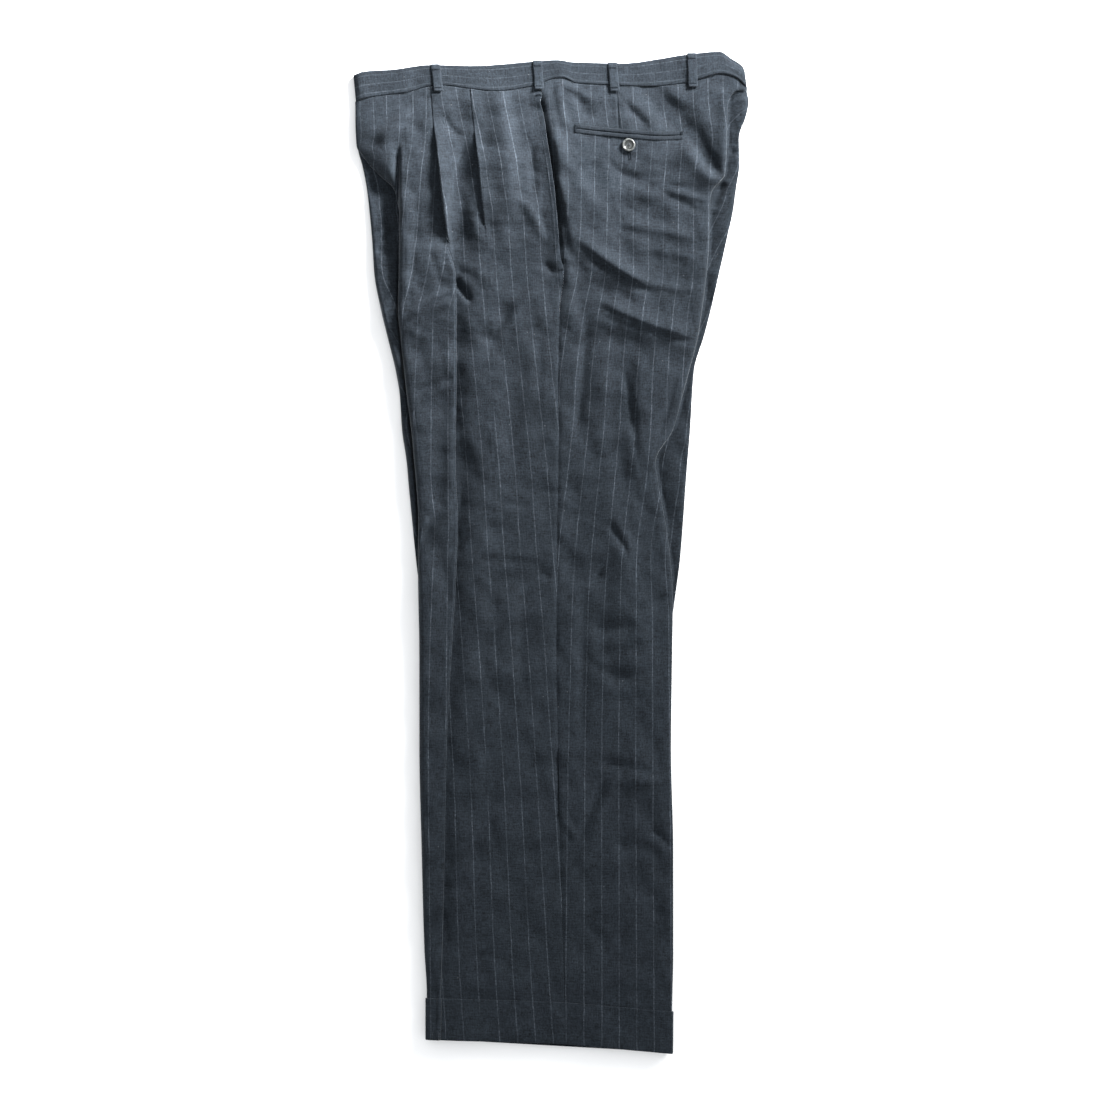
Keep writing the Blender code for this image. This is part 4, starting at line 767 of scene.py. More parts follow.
def cloth_mesh(name, place, grain, wrap=False, close=False, caps=False, flip=False):
    """A mesh over a grid of places: wrap joins its last column to its first, close its last row."""
    rows, columns = place.shape[:2]
    index = np.arange(rows * columns).reshape(rows, columns)
    if wrap:
        index = beside(index, index[:, :1])
    if close:
        index = np.concatenate((index, index[:1]))
    uv_index = np.arange(grain.shape[0] * grain.shape[1]).reshape(grain.shape[:2])
    faces = quads(index, flip).tolist()
    corners = quads(uv_index, flip).ravel().tolist()
    if caps:
        for row, forward in ((0, flip), (rows - 1, not flip)):
            order = 1 if forward else -1
            faces.append(index[row, :columns][::order].tolist())
            corners += uv_index[row, :columns][::order].tolist()
    mesh = new_mesh(name, place, faces, grain, corners)
    if wrap:
        builder = bmesh.new()
        builder.from_mesh(mesh)
        bmesh.ops.recalc_face_normals(builder, faces=builder.faces)
        builder.to_mesh(mesh)
        builder.free()
    return mesh


def link_new(name, data):
    """A new object in the scene."""
    made = bpy.data.objects.new(name, data)
    bpy.context.scene.collection.objects.link(made)
    return made


def add_piece(name, mesh, material, nodes=(), wall=0.0):
    """Put a piece in the scene, riding on the trousers, with its finish and what it stands for."""
    piece = link_new(name, mesh)
    mesh.materials.append(material)
    if wall:
        thickness = piece.modifiers.new("cloth", "SOLIDIFY")
        thickness.thickness = wall * MM
        thickness.offset = -1.0
    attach(piece, "root")
    if nodes:
        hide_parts(*nodes)
    return piece


SHARED = {}                # cloth that later pieces lie on
CUTS = {}                  # each piece of cloth: its widest width, length and area, how it is held, on what


def note_cut(name, widths, steps, rests_on, held="laid"):
    """Keep a piece's cut from the widths of its rows and the steps between them, in millimetres."""
    area = ((widths[:-1] + widths[1:]) / 2 * steps).sum()
    CUTS[name] = float(widths.max()), float(steps.sum()), float(area), held, rests_on


def below(name):
    """What a piece of cloth rests on: the left side's on the right side's, and that on the floor."""
    return name.replace("left", "right") if name.startswith("left") else "studio_floor"


def girth(place):
    """Half the way round each row of a closed piece: the width of the cloth that shows."""
    return np.linalg.norm(np.diff(place, axis=1, append=place[:, :1]), axis=2).sum(axis=1) / 2


# A panel's rows, closer together where the cloth folds most: from one height down to another, in steps.
ROW_ZONES = ((WAIST_Y, 496.0, 4), (496.0, 225.0, 130), (225.0, -60.0, 84),
             (-60.0, HEM_Y + WALL + SEAM_GAP, 104))


def panel_rows():
    """Nominal heights of a panel's rows, as a column."""
    rows = [np.array([WAIST_Y])]
    rows += [start + (end - start) * np.arange(1, steps + 1) / steps for start, end, steps in ROW_ZONES]
    return np.concatenate(rows)[:, None]


def placed(side, y, out, z):
    x = side * out
    return np.stack((x, plan_y(x, y), z), axis=-1)


def grained(count, y):
    return np.stack((count * STRIPE_PITCH, np.broadcast_to(y, count.shape)), axis=-1)


def leg(which, path):
    """A leg's front and back panels from waist seam to hem, thin walls on their solids' outer faces."""
    wall = bpy.context.scene.trousers_sewing.cloth_wall / MM
    upper = path is left_path
    y = panel_rows()
    for side, place in ((-1, "front"), (1, "back")):
        name = f"{which}_{place}_cloth"
        out, z, count = path(side, y)
        widths = along(out, z)[:, -1]
        out, z = offset(out, z, WALL / 2 if upper else -WALL / 2)
        mesh = cloth_mesh(name, placed(side, y, out, z), grained(count, y), flip=(side > 0) == upper)
        SHARED[name] = add_piece(name, mesh, finish("wool"), (f"{which}_{place}",), wall)
        note_cut(name, widths, -np.diff(y[:, 0]), below(name))


def leg_ring(path, y):
    """One leg's section all the way round, from the inseam over the front to the back, for rows y."""
    (front_out, front_z, front_count), (back_out, back_z, back_count) = (path(side, y) for side in (-1, 1))
    join = lambda front, back: beside(front[:, -2:0:-1], back[:, 1:-1])
    return join(-front_out, back_out), join(front_z, back_z), join(front_count, back_count)


def turn_up(which, path):
    """The hem turned up outside a leg, with a rolled lower edge and a lip at its top."""
    top, bottom, leg_end = HEM_Y + TURN_UP_HEIGHT, HEM_Y, HEM_Y + WALL
    outside, inside = WALL / 2 + SEAM_GAP + WALL, WALL / 2 + SEAM_GAP
    profile = [(top - 1.0, inside), (top, inside + 0.1), (top + 0.25, mix(inside, outside, 0.5)),
               (top, outside - 0.1), (top - 0.8, outside)]
    profile += [(mix(top - 0.8, bottom + 1.2, i / 14), outside) for i in range(1, 15)]
    profile += [(bottom + 0.4, outside - 0.2), (bottom, outside - 0.8), (bottom, 0.2 - WALL / 2),
                (leg_end, -WALL / 2), (leg_end, inside), (mix(leg_end, top, 0.5), inside)]
    y, distance = (np.array(column)[:, None] for column in zip(*profile))
    x, z, count = leg_ring(path, y)
    wrapped = [beside(a[:, -1:], a, a[:, :1]) for a in (x, z)]
    around = along(wrapped[0][:, 1:], wrapped[1][:, 1:])[:, -1].max()
    upper = path is left_path
    x, z = (a[:, 1:-1] for a in offset(*wrapped, distance if upper else -distance))
    place = np.stack((x, plan_y(x, y), z), axis=-1)
    grain = grained(beside(count, count[:, :1] + 0.5), bottom - (y - bottom) - 40.0)
    name = f"{which}_turn_up_cloth"
    mesh = cloth_mesh(name, place, np.concatenate((grain, grain[:1])), wrap=True, close=True, flip=not upper)
    add_piece(name, mesh, finish("wool"), (f"{which}_turn_up",))
    note_cut(name, np.full(2, TURN_UP_HEIGHT + WALL), np.array([around]), below(name), "folded")


def band_height(x, y):
    """Top of the left waistband: level, raised over the pleats, rolling down at its two ends."""
    height = BAND_TOP_HEIGHT + 0.7 * hump(x + 108.0, 45.0) + 0.8 * hump(x - 170.0, 25.0)
    from_front = x - mix(-211.0, -213.2, (y - 486.7) / 28.7)
    from_back = 212.5 - x
    cut = (BAND_TOP.y(x) - y) * 0.75 + np.maximum(0.0, 190.0 - x)
    from_back = np.where(x > 175.0, np.minimum(from_back, cut), from_back)
    return mix(BAND_NOSE, height, np.sqrt(eased(np.minimum(from_front, from_back) / 7.0)))


# Section of a waistband: share of its height and of its thickness, once round.
BAND_PROFILE = ((0.0, 0.2), (0.0, 0.6), (0.015, 0.88), (0.045, 1.0), (0.09, 1.03), (0.15, 1.0), (0.25, 1.0),
                (0.35, 1.0), (0.45, 1.0), (0.55, 1.0), (0.65, 1.0), (0.75, 1.0), (0.85, 1.0), (0.91, 1.0),
                (0.95, 0.98), (0.98, 0.88), (1.0, 0.6), (1.0, 0.25), (0.97, 0.0), (0.66, 0.0), (0.33, 0.0),
                (0.04, 0.0))


BAND_FRONT, BAND_BACK = -213.2, 209.5  # ends of the waistband's top edge
BAND_EASE = 3.0            # the band's two halves part over this height above its nose


def waistband(which, upper):
    """One half of the waistband, from the front closure to the centre back."""
    first = fold_x(-1, WAIST_Y) - FRONT_TURN.reach(WAIST_Y)
    last = fold_x(1, WAIST_Y) + BACK_TURN.reach(WAIST_Y)
    share = crowded(np.linspace(0.0, 1.0, 260)[:, None], 0.7)
    low_x = mix(first, last, share)
    t, thick = (np.array(column)[None, :] for column in zip(*BAND_PROFILE))
    x = mix(low_x, mix(BAND_FRONT, BAND_BACK, share), t)
    y = mix(plan_y(low_x, WAIST_Y) + SEAM_GAP, BAND_TOP.y(x), t)
    top = band_height(x, y)
    if upper:
        inside = eased((top - BAND_NOSE) / BAND_EASE)
        high = top + inside * (0.55 * unevenness(x, y * 0.6) + 0.25 * np.sin(x / 23.0 + 2.0 * t))
        low = np.maximum(top - BAND_WALL, BAND_SPLIT + SEAM_GAP / 2)
    else:
        rise = np.maximum(0.0, 1.0 - (top - BAND_NOSE) / BAND_EASE)
        low = 1.4 * rise ** 2
        high = mix(BAND_WALL, BAND_SPLIT - SEAM_GAP / 2, rise)
    place = np.stack((x, y, mix(low, high, thick)), axis=-1)
    count = beside(t, t[:, :1] + 1) * np.ones_like(share) * 1.7 + 0.32
    name = f"{which}_waistband_cloth"
    mesh = cloth_mesh(name, place, grained(count, low_x), wrap=True, caps=True, flip=True)
    SHARED[name] = add_piece(name, mesh, finish("band"), (f"{which}_waistband",))
    note_cut(name, girth(place), np.diff(x.mean(axis=1)), below(name))


def top_of(*names):
    """A function that gives the height of pieces of cloth at a point of the plan."""
    depsgraph = bpy.context.evaluated_depsgraph_get()
    trees = [BVHTree.FromObject(SHARED[name], depsgraph) for name in names]

    def height(x, y):
        hits = [tree.ray_cast((x * MM, y * MM, 0.1), (0.0, 0.0, -1.0))[0] for tree in trees]
        return max((hit.z / MM for hit in hits if hit), default=0.0)
    return height


def loft(line, normal, across, ring):
    """Places of a closed section carried along a line: ring holds moves across it and along its normal."""
    s, h = (np.array(column)[None, :, None] for column in zip(*ring))
    return line[:, None, :] + across[:, None, :] * s + normal[:, None, :] * h


def tangents(line):
    step = np.gradient(line, axis=0)
    return step / np.maximum(np.linalg.norm(step, axis=1, keepdims=True), 1e-9)


def smoothed(line, passes):
    for _ in range(passes):
        line = np.concatenate((line[:1], (line[:-2] + 2 * line[1:-1] + line[2:]) / 4, line[-1:]))
    return line


def step_lengths(line):
    return np.linalg.norm(np.diff(line, axis=0), axis=1)


def resampled(line, spacing):
    """The same line with evenly spaced points."""
    length = np.concatenate(([0.0], np.cumsum(step_lengths(line))))
    at = np.linspace(0.0, length[-1], max(2, round(length[-1] / spacing) + 1))
    return np.stack([np.interp(at, length, line[:, k]) for k in range(line.shape[1])], axis=1)


def strip_mesh(name, line, normal, across, ring):
    """A narrow sewn-on strip: a closed section carried along a line, its grain along it."""
    length = np.concatenate(([0.0], np.cumsum(step_lengths(line))))
    s = np.array([row[0] for row in ring] + [ring[0][0] + 0.5])
    grain = np.stack(np.broadcast_arrays(s[None, :] + STRIP_GRAIN_SHIFT, length[:, None]), axis=-1)
    return cloth_mesh(name, loft(line, normal, across, ring), grain, wrap=True, caps=True)


LOOP_RING = ((-5.0, 0.25), (-5.0, 0.75), (-4.6, 1.12), (-3.6, 1.25), (-1.8, 1.33), (0.0, 1.36), (1.8, 1.33),
             (3.6, 1.25), (4.6, 1.12), (5.0, 0.75), (5.0, 0.25), (4.5, 0.0), (0.0, 0.0), (-4.5, 0.0))
# A belt loop's line: share of the way from the waist seam to the band's top, mm beyond, mm above.
LOOP_LAY = ((0, -6.0, 1.0), (0, -3.4, 0.9), (0, -1.3, 0.3), (0, 1.5, 0.1), (0.45, 0.0, 0.0), (0.7, 0.0, 0.0),
            (1, -5.0, 0.0), (1, -2.2, 0.0), (1, -1.1, -0.15), (1, -0.6, -0.8), (1, -0.5, -1.7))
LOOP_LIFT = 0.35
STRIP_GRAIN_SHIFT = 0.4 * STRIPE_PITCH


def belt_loop(number, x, lean, on_top):
    """A loop sewn over the band's top edge, its lower end turned under below the waist seam."""
    drop = float(BAND_TOP.y(x) - plan_y(x, WAIST_Y))
    points = []
    for share, beyond, above in LOOP_LAY:
        at_x = x + lean * (drop * (1.0 - share) - beyond)
        edge = float(BAND_TOP.y(at_x)) + LOOP_LIFT
        y = mix(float(plan_y(at_x, WAIST_Y)), edge, share) + beyond
        near = [on_top(at_x + s, y + reach) for s in (-4.0, 0.0, 4.0) for reach in (-2.2, 0.0, 2.2)
                if y + reach < edge - 0.5]
        near = near or [on_top(at_x, edge - 1.6)]
        points.append((at_x, y, max(near) + LOOP_LIFT + above))
    line = smoothed(resampled(np.array(points), 0.9), 6)
    tangent = tangents(line)
    across = np.broadcast_to(np.array((1.0, 0.0, 0.0)), tangent.shape)
    normal = np.cross(across, tangent)
    normal /= np.linalg.norm(normal, axis=1, keepdims=True)
    mesh = strip_mesh(f"belt_loop_cloth_{number}", line, normal, across, LOOP_RING)
    add_piece(mesh.name, mesh, finish("loop"), (f"belt_loop_{number}",))
    note_cut(mesh.name, girth(loft(line, normal, across, LOOP_RING)), step_lengths(line),
             "left_waistband_cloth")
    return line, normal, across


WELT_RING = ((-2.1, 0.1), (-2.12, 0.5), (-1.75, 0.84), (-0.9, 0.98), (0.0, 1.02), (0.9, 0.98), (1.75, 0.84),
             (2.12, 0.5), (2.1, 0.1), (0.0, 0.0))
WELT_ROUTE = ((26.0, 457.2), (50.0, 454.6), (73.0, 452.4), (96.0, 450.3), (113.0, 449.2), (128.0, 449.6),
              (142.5, 450.4))
WELT_SHIFT = 2.55          # of each welt's middle from the pocket's mouth


def laid_line(route, spacing, on_top, lift, shift=0.0):
    """A line laid on the cloth along a route of the plan, moved square to the route by a shift."""
    plan = smoothed(resampled(np.array(route, float), spacing), 4)
    tangent = tangents(plan)
    plan = plan + np.stack((-tangent[:, 1], tangent[:, 0]), axis=1) * shift
    heights = [on_top(px, py) + lift for px, py in plan]
    return smoothed(np.column_stack((plan, heights)), 2)


def level_frame(line):
    """Level sideways directions and upward normals along a line."""
    tangent = tangents(line)
    across = np.cross((0.0, 0.0, 1.0), tangent)
    across /= np.linalg.norm(across, axis=1, keepdims=True)
    return tangent, across, np.cross(tangent, across)


STITCH_SIDES = 6
STITCH_SHARES = ((-1.0, 0.35), (-0.82, 0.8), (-0.4, 1.0), (0.4, 1.0), (0.82, 0.8), (1.0, 0.35))
RUN_FLATNESS, RUN_LIFT, TACK_FLATNESS = 0.8, 0.1, 0.9


def stitches(name, runs, material):
    """Short lengths of sewing thread: runs holds (middle, direction, length, radius, flatness) of each."""
    angle = (np.arange(STITCH_SIDES) * 2 * np.pi / STITCH_SIDES)[:, None]
    share, size = (np.array(column)[:, None, None] for column in zip(*STITCH_SHARES))
    index = np.arange(share.size * STITCH_SIDES).reshape(share.size, STITCH_SIDES)
    one = quads(beside(index, index[:, :1])).tolist() + [index[0, ::-1].tolist(), index[-1].tolist()]
    places, faces, grains = [], [], []
    for number, (middle, direction, length, radius, flat) in enumerate(runs):
        direction = np.asarray(direction, float) / np.linalg.norm(direction)
        side = np.cross((0.0, 0.0, 1.0), direction)
        side /= max(np.linalg.norm(side), 1e-9)
        up = np.cross(direction, side)
        places.append(np.asarray(middle) + direction * share * length / 2
                      + side * np.cos(angle) * size * radius + up * np.sin(angle) * size * radius * flat)
        grains.append(np.concatenate(np.broadcast_arrays(share * length, angle), axis=-1))
        faces += [[corner + number * index.size for corner in face] for face in one]
    corners = [corner for face in faces for corner in face]
    return add_piece(name, new_mesh(name, np.array(places), faces, np.array(grains), corners), material)


def run_of(line, pitch, length, radius):
    """Stitches laid end to end along a line."""
    points = resampled(line, pitch)
    return [(point + (0.0, 0.0, RUN_LIFT), direction, length, radius, RUN_FLATNESS)
            for point, direction in zip(points, tangents(points))]


def bar_tack(middle, across, along_dir, width, depth, count, radius):
    """A dense block of short threads lying side by side."""
    steps = (i / (count - 1) - 0.5 for i in range(count))
    return [(np.asarray(middle) + np.asarray(along_dir) * depth * step, across, width, radius, TACK_FLATNESS)
            for step in steps]


class Signal:
    """A node's output. A sum or product with it adds the node that works it out."""

    def __init__(self, socket):
        self.socket = socket

    def worked(self, operation, *values):
        return Wiring(self.socket.id_data).math(operation, *values)

    def __add__(self, other):
        return self.worked("ADD", self, other)

    def __sub__(self, other):
        return self.worked("SUBTRACT", self, other)

    def __rsub__(self, other):
        return self.worked("SUBTRACT", other, self)

    def __mul__(self, other):
        return self.worked("MULTIPLY", self, other)

    def __truediv__(self, other):
        return self.worked("DIVIDE", self, other)


class Wiring:
    """Adds nodes to a tree. What goes into them is a plain value or another node's signal."""

    def __init__(self, tree):
        self.tree = tree

    def feed(self, node, inputs):
        for key, value in inputs.items():
            if isinstance(value, Signal):
                self.tree.links.new(value.socket, node.inputs[key])
            else:
                node.inputs[key].default_value = value

    def add(self, kind, inputs=None, **settings):
        made = self.tree.nodes.new(kind)
        for key, value in settings.items():
            setattr(made, key, value)
        self.feed(made, inputs or {})
        return made

    def node(self, kind, inputs=None, out=0, **settings):
        return Signal(self.add(kind, inputs, **settings).outputs[out])

    def math(self, operation, *values, **settings):
        return self.node("ShaderNodeMath", dict(enumerate(values)), operation=operation, **settings)

    def vector(self, operation, *values, out=0):
        return self.node("ShaderNodeVectorMath", dict(enumerate(values)), out, operation=operation)

    def toned(self, colour, tone):
        """A colour made lighter or darker by a tone, where 1 leaves it as it is."""
        return self.node("ShaderNodeVectorMath", {0: colour, "Scale": tone}, operation="SCALE")

    def ramp(self, value, low, high, to_low=0.0, to_high=1.0):
        """A smooth step of a value, from to_low at low to to_high at high."""
        return self.node("ShaderNodeMapRange", {"Value": value, "From Min": low, "From Max": high,
                                                "To Min": to_low, "To Max": to_high},
                         interpolation_type="SMOOTHSTEP")

    def noise(self, place, scale, detail=2.0, roughness=0.5):
        """Noise over a place; three scales stretch it differently along each axis."""
        if isinstance(scale, tuple):
            place, scale = self.vector("MULTIPLY", place, scale), 1.0
        return self.node("ShaderNodeTexNoise", {"Vector": place, "Scale": scale, "Detail": detail,
                                                "Roughness": roughness})

    def blend(self, share, a, b):
        return self.node("ShaderNodeMix", {0: share, 6: a, 7: b}, 2, data_type="RGBA")

    def across_and_along(self, grain):
        """The two coordinates of the cloth's grain, in metres across and along it."""
        split = self.add("ShaderNodeSeparateXYZ", {0: grain})
        return Signal(split.outputs[0]), Signal(split.outputs[1])

    def grain(self):
        return self.node("ShaderNodeUVMap", uv_map="grain")

    def place(self):
        return self.node("ShaderNodeTexCoord", out="Object")


def effect(name, place, shares, outputs):
    """Turn a function that wires an effect into one that gives its node group, built only once."""
    def declared(wire):
        def group():
            if name in bpy.data.node_groups:
                return bpy.data.node_groups[name]
            tree = bpy.data.node_groups.new(name, "ShaderNodeTree")
            tree.interface.new_socket(place, in_out="INPUT", socket_type="NodeSocketVector")
            for label, default in shares.items():
                socket = tree.interface.new_socket(label, in_out="INPUT", socket_type="NodeSocketFloat")
                socket.default_value = default
            for label in outputs:
                tree.interface.new_socket(label, in_out="OUTPUT", socket_type="NodeSocketFloat")
            wiring = Wiring(tree)
            given = wiring.add("NodeGroupInput").outputs
            made = wire(wiring, *(Signal(given[label]) for label in (place, *shares)))
            wiring.add("NodeGroupOutput", dict(zip(outputs, made)))
            return tree
        return group
    return declared


@effect("worsted weave", "Grain", {"Fleck": 0.5}, ("Tone", "Height"))
def weave(w, grain, fleck):
    """Worsted twill: slubs along both yarns, flecks of the mixed fibres and the twill's fine diagonal."""
    warp = w.noise(grain, (900.0, 90.0, 1.0), 3.0, 0.65)
    weft = w.noise(grain, (85.0, 850.0, 1.0), 3.0, 0.65)
    flecks = w.noise(grain, (520.0, 480.0, 1.0), 2.0, 0.7)
    cloud = w.noise(grain, (95.0, 70.0, 1.0), 3.0, 0.55)
    total = (warp * 1.3 + weft * 1.5) + (flecks * 1.5 + cloud * 0.5)
    across, along_grain = w.across_and_along(grain)
    diagonal = w.math("SINE", (across + along_grain * 0.6) * (2 * math.pi / TWILL_PITCH))
    return (total - 2.4) * fleck + 1.0, total * 0.5 + diagonal * 0.16


@effect("pinstripe", "Grain", {"Pitch": STRIPE_PITCH * MM, "Width": 0.0012, "Breaks": 0.5}, ("Mask",))
def pinstripe(w, grain, pitch, width, breaks):
    """Pinstripes of single pale yarns, soft at their sides and broken where the weave covers them."""
    sway = (w.noise(grain, 60.0, 1.0) - 0.5) * 0.0012
    count = (w.across_and_along(grain)[0] + sway) / pitch
    away = w.math("ABSOLUTE", w.math("FRACT", count + 0.5) - 0.5) * pitch
    line = w.ramp(away, width * 0.75, width * 0.18)
    broken = w.ramp(w.noise(grain, (300.0, 330.0, 1.0), 3.0, 0.75), 0.40, 0.64)
    faded = w.ramp(w.noise(grain, (40.0, 22.0, 1.0), 1.0), 0.3, 0.7, 0.4, 0.9)
    kept = (1.0 - breaks) + broken * breaks
    return (line * kept * faded,)


@effect("worn cloth", "Place", {"Patches": 0.1, "Lint": 0.3}, ("Tone", "Lint"))
def wear(w, place, patches, lint):
    """Broad unevenness of worn, pressed cloth, and a little lint."""
    tone = (w.noise(place, 14.0, 3.0, 0.55) - 0.5) * patches + 1.0
    cells = w.node("ShaderNodeTexVoronoi", {"Vector": place, "Scale": 150.0}, "Distance", feature="F1")
    rare = w.ramp(w.noise(place, 90.0, 1.0), 0.62, 0.7)
    return tone, w.ramp(cells, 0.12, 0.05) * rare * lint


@effect("thread twist", "Grain", {}, ("Tone", "Height"))
def twist(w, grain):
    """The twisted plies of sewing thread."""
    along_thread, around = w.across_and_along(grain)
    ply = w.math("SINE", along_thread * (2 * math.pi / PLY_PITCH) + around * 1000.0)
    return ply * 0.18 + 0.9, ply


def placed_effect(w, group, **inputs):
    """The signals of an effect's group, placed in a material with its own values."""
    made = w.add("ShaderNodeGroup", node_tree=group())
    w.feed(made, inputs)
    return {socket.name: Signal(socket) for socket in made.outputs}


def new_material(name, roughness, **sockets):
    """A Principled material; constants go straight on its sockets."""
    made = bpy.data.materials.new(name)
    made.use_nodes = True
    shader = made.node_tree.nodes["Principled BSDF"]
    shader.inputs["Roughness"].default_value = roughness
    for label, value in sockets.items():
        shader.inputs[label.replace("_", " ")].default_value = value
    return made, Wiring(made.node_tree), shader


def dress(w, shader, colour, height, strength, distance):
    """Feed a shader its colour, and a height that raises the surface by a distance in metres."""
    bump = w.node("ShaderNodeBump", {"Height": height, "Strength": strength, "Distance": distance})
    w.feed(shader, {"Base Color": colour, "Normal": bump})


def wool(name, colour, stripes=1.0, pitch=STRIPE_PITCH):
    """Pinstriped worsted wool, or plain where stripes is 0."""
    look = bpy.context.scene.trousers_finish
    made, w, shader = new_material(name, look.roughness, Sheen_Weight=look.sheen, Sheen_Roughness=0.33,
                                   Sheen_Tint=(*look.sheen_colour, 1.0), Specular_IOR_Level=0.08)
    grain = w.grain()
    woven = placed_effect(w, weave, Grain=grain, Fleck=1.25)
    worn = placed_effect(w, wear, Place=w.place(), Patches=0.2, Lint=0.15)
    shade = w.toned(colour, woven["Tone"] * worn["Tone"])
    if stripes:
        stripe = placed_effect(w, pinstripe, Grain=grain, Pitch=pitch * MM, Breaks=0.75,
                               Width=look.stripe_width)
        share = w.math("MULTIPLY", stripe["Mask"], stripes * look.stripe_strength, use_clamp=True)
        shade = w.blend(share, shade, (*look.stripe_colour, 1.0))
    shade = w.blend(worn["Lint"], shade, LINT_COLOUR)
    dress(w, shader, shade, woven["Height"], look.weave_depth, 0.0004)
    return made


def thread_material(name, colour):
    """Twisted sewing thread."""
    made, w, shader = new_material(name, 0.9, Specular_IOR_Level=0.05)
    twisted = placed_effect(w, twist, Grain=w.grain())
    dress(w, shader, w.toned(colour, twisted["Tone"]), twisted["Height"], 0.5, 0.0001)
    return made


def button_material():
    """Polished grey horn: clouded, with painted shade in its dish and a fine scratch or two."""
    made, w, shader = new_material("grey_button_horn", 0.3, Coat_Weight=0.1, Specular_IOR_Level=0.4)
    place = w.place()
    cloud = w.noise(place, 420.0, 4.0, 0.6)
    vein = w.noise(place, (900.0, 300.0, 1.0), 3.0, 0.7)
    colour = w.blend(w.ramp(cloud * 0.7 + vein * 0.3, 0.36, 0.62), HORN_DARK, HORN_PALE)
    from_middle = w.vector("SUBTRACT", place, (BUTTON_X * MM, BUTTON_Y * MM, 0.0))
    radius = w.vector("LENGTH", w.vector("MULTIPLY", from_middle, (1.0, 1.0, 0.0)), out="Value")
    # painted shade: darkest on the groove down into the dish, and partly over the dish's floor
    dish_shade = w.ramp(radius, 0.0054, 0.0047) * w.ramp(radius, 0.0034, 0.0041, 0.45, 1.0)
    dress(w, shader, w.blend(dish_shade, colour, HORN_DISH_SHADE), vein, 0.12, 0.0002)
    w.feed(shader, {"Roughness": w.ramp(cloud, 0.3, 0.7, 0.26, 0.42)})
    return made


MATERIALS = {}             # materials already made


def finish(name):
    """One of the trousers' materials, made when it is first asked for."""
    cloth = np.array(bpy.context.scene.trousers_finish.cloth_colour)
    makers = {
        "wool": lambda: wool("pinstriped_wool", cloth),
        "band": lambda: wool("waistband_wool", cloth, stripes=0.6, pitch=11.0),
        "loop": lambda: wool("belt_loop_wool", 1.08 * cloth, stripes=0.0),
        "welt": lambda: wool("welt_wool", 0.9 * cloth, stripes=0.0),
        "thread": lambda: thread_material("sewing_thread", 0.75 * cloth),
        "button_thread": lambda: thread_material("button_thread", (0.05, 0.055, 0.06)),
        "button": button_material,
    }
    if name not in MATERIALS:
        MATERIALS[name] = makers[name]()
    return MATERIALS[name]


class TrousersFinish(bpy.types.PropertyGroup):
    """Colours and surface of the cloth."""
    cloth_colour: bpy.props.FloatVectorProperty(
        name="Cloth colour", description="Charcoal of the worsted", subtype="COLOR", min=0.0, max=1.0,
        default=(0.0112, 0.0146, 0.0188))
    stripe_colour: bpy.props.FloatVectorProperty(
        name="Stripe colour", description="Pale yarn of the pinstripes", subtype="COLOR", min=0.0, max=1.0,
        default=(0.085, 0.10, 0.12))
    stripe_strength: bpy.props.FloatProperty(
        name="Stripe strength", description="How clearly the pinstripes show", default=0.6, min=0.0, max=1.0,
        subtype="FACTOR")
    stripe_width: bpy.props.FloatProperty(
        name="Stripe width", description="Width of one pinstripe", default=0.0011, unit="LENGTH", precision=4)
    roughness: bpy.props.FloatProperty(
        name="Roughness", description="Roughness of the wool", default=0.85, min=0.0, max=1.0,
        subtype="FACTOR")
    sheen: bpy.props.FloatProperty(
        name="Sheen", description="Soft light on the nap at glancing angles", default=0.2, min=0.0, max=1.0,
        subtype="FACTOR")
    sheen_colour: bpy.props.FloatVectorProperty(
        name="Sheen colour", description="Tint of the light on the nap", subtype="COLOR", min=0.0, max=1.0,
        default=(0.87, 0.94, 1.0))
    weave_depth: bpy.props.FloatProperty(
        name="Weave depth", description="Relief of the yarns", default=0.5, min=0.0, max=1.0,
        subtype="FACTOR")


class TrousersSewing(bpy.types.PropertyGroup):
    """Sizes of the cloth and its sewing."""
    cloth_wall: bpy.props.FloatProperty(
        name="Cloth thickness", description="Thickness of the visible cloth wall", default=0.0009,
        unit="LENGTH", precision=4)
    stitch_pitch: bpy.props.FloatProperty(
        name="Stitch pitch", description="From one stitch to the next", default=0.0026, unit="LENGTH",
        precision=4)
    stitch_radius: bpy.props.FloatProperty(
        name="Thread radius", description="Half the thickness of the sewing thread", default=0.0002,
        unit="LENGTH", precision=5)
    pocket_stitch_inset: bpy.props.FloatProperty(
        name="Pocket stitching inset", description="From the side pocket's mouth to its stitching",
        default=0.0075, unit="LENGTH", precision=4)


class TrousersStudio(bpy.types.PropertyGroup):
    """The floor, the lights and the camera."""
    floor_colour: bpy.props.FloatVectorProperty(
        name="Floor colour", description="Colour of the plain floor", subtype="COLOR", min=0.0, max=1.0,
        default=(0.88, 0.88, 0.88))
    waist_light: bpy.props.FloatProperty(
        name="Waist light", description="Power of the soft light beyond the waist", default=20.5,
        unit="POWER")
    far_light: bpy.props.FloatProperty(
        name="Far light", description="Power of the large soft light further off", default=134.0,
        unit="POWER")
    back_light: bpy.props.FloatProperty(
        name="Back light", description="Power of the soft light at the back's side", default=2.5,
        unit="POWER")
    room_light: bpy.props.FloatProperty(
        name="Room light", description="Strength of the even light from all round", default=1.04, min=0.0)
    camera_height: bpy.props.FloatProperty(
        name="Camera height", description="Camera above the floor", default=6.0, unit="LENGTH")
    frame_width: bpy.props.FloatProperty(
        name="Frame width", description="Width of the floor that the camera sees", default=1.188,
        unit="LENGTH")


class TROUSERS_OT_left_leg(bpy.types.Operator):
    """Left front and back panels, which lie uppermost"""
    bl_idname = "trousers.left_leg"
    bl_label = "Left leg"

    def execute(self, context):
        leg("left", left_path)
        return {"FINISHED"}


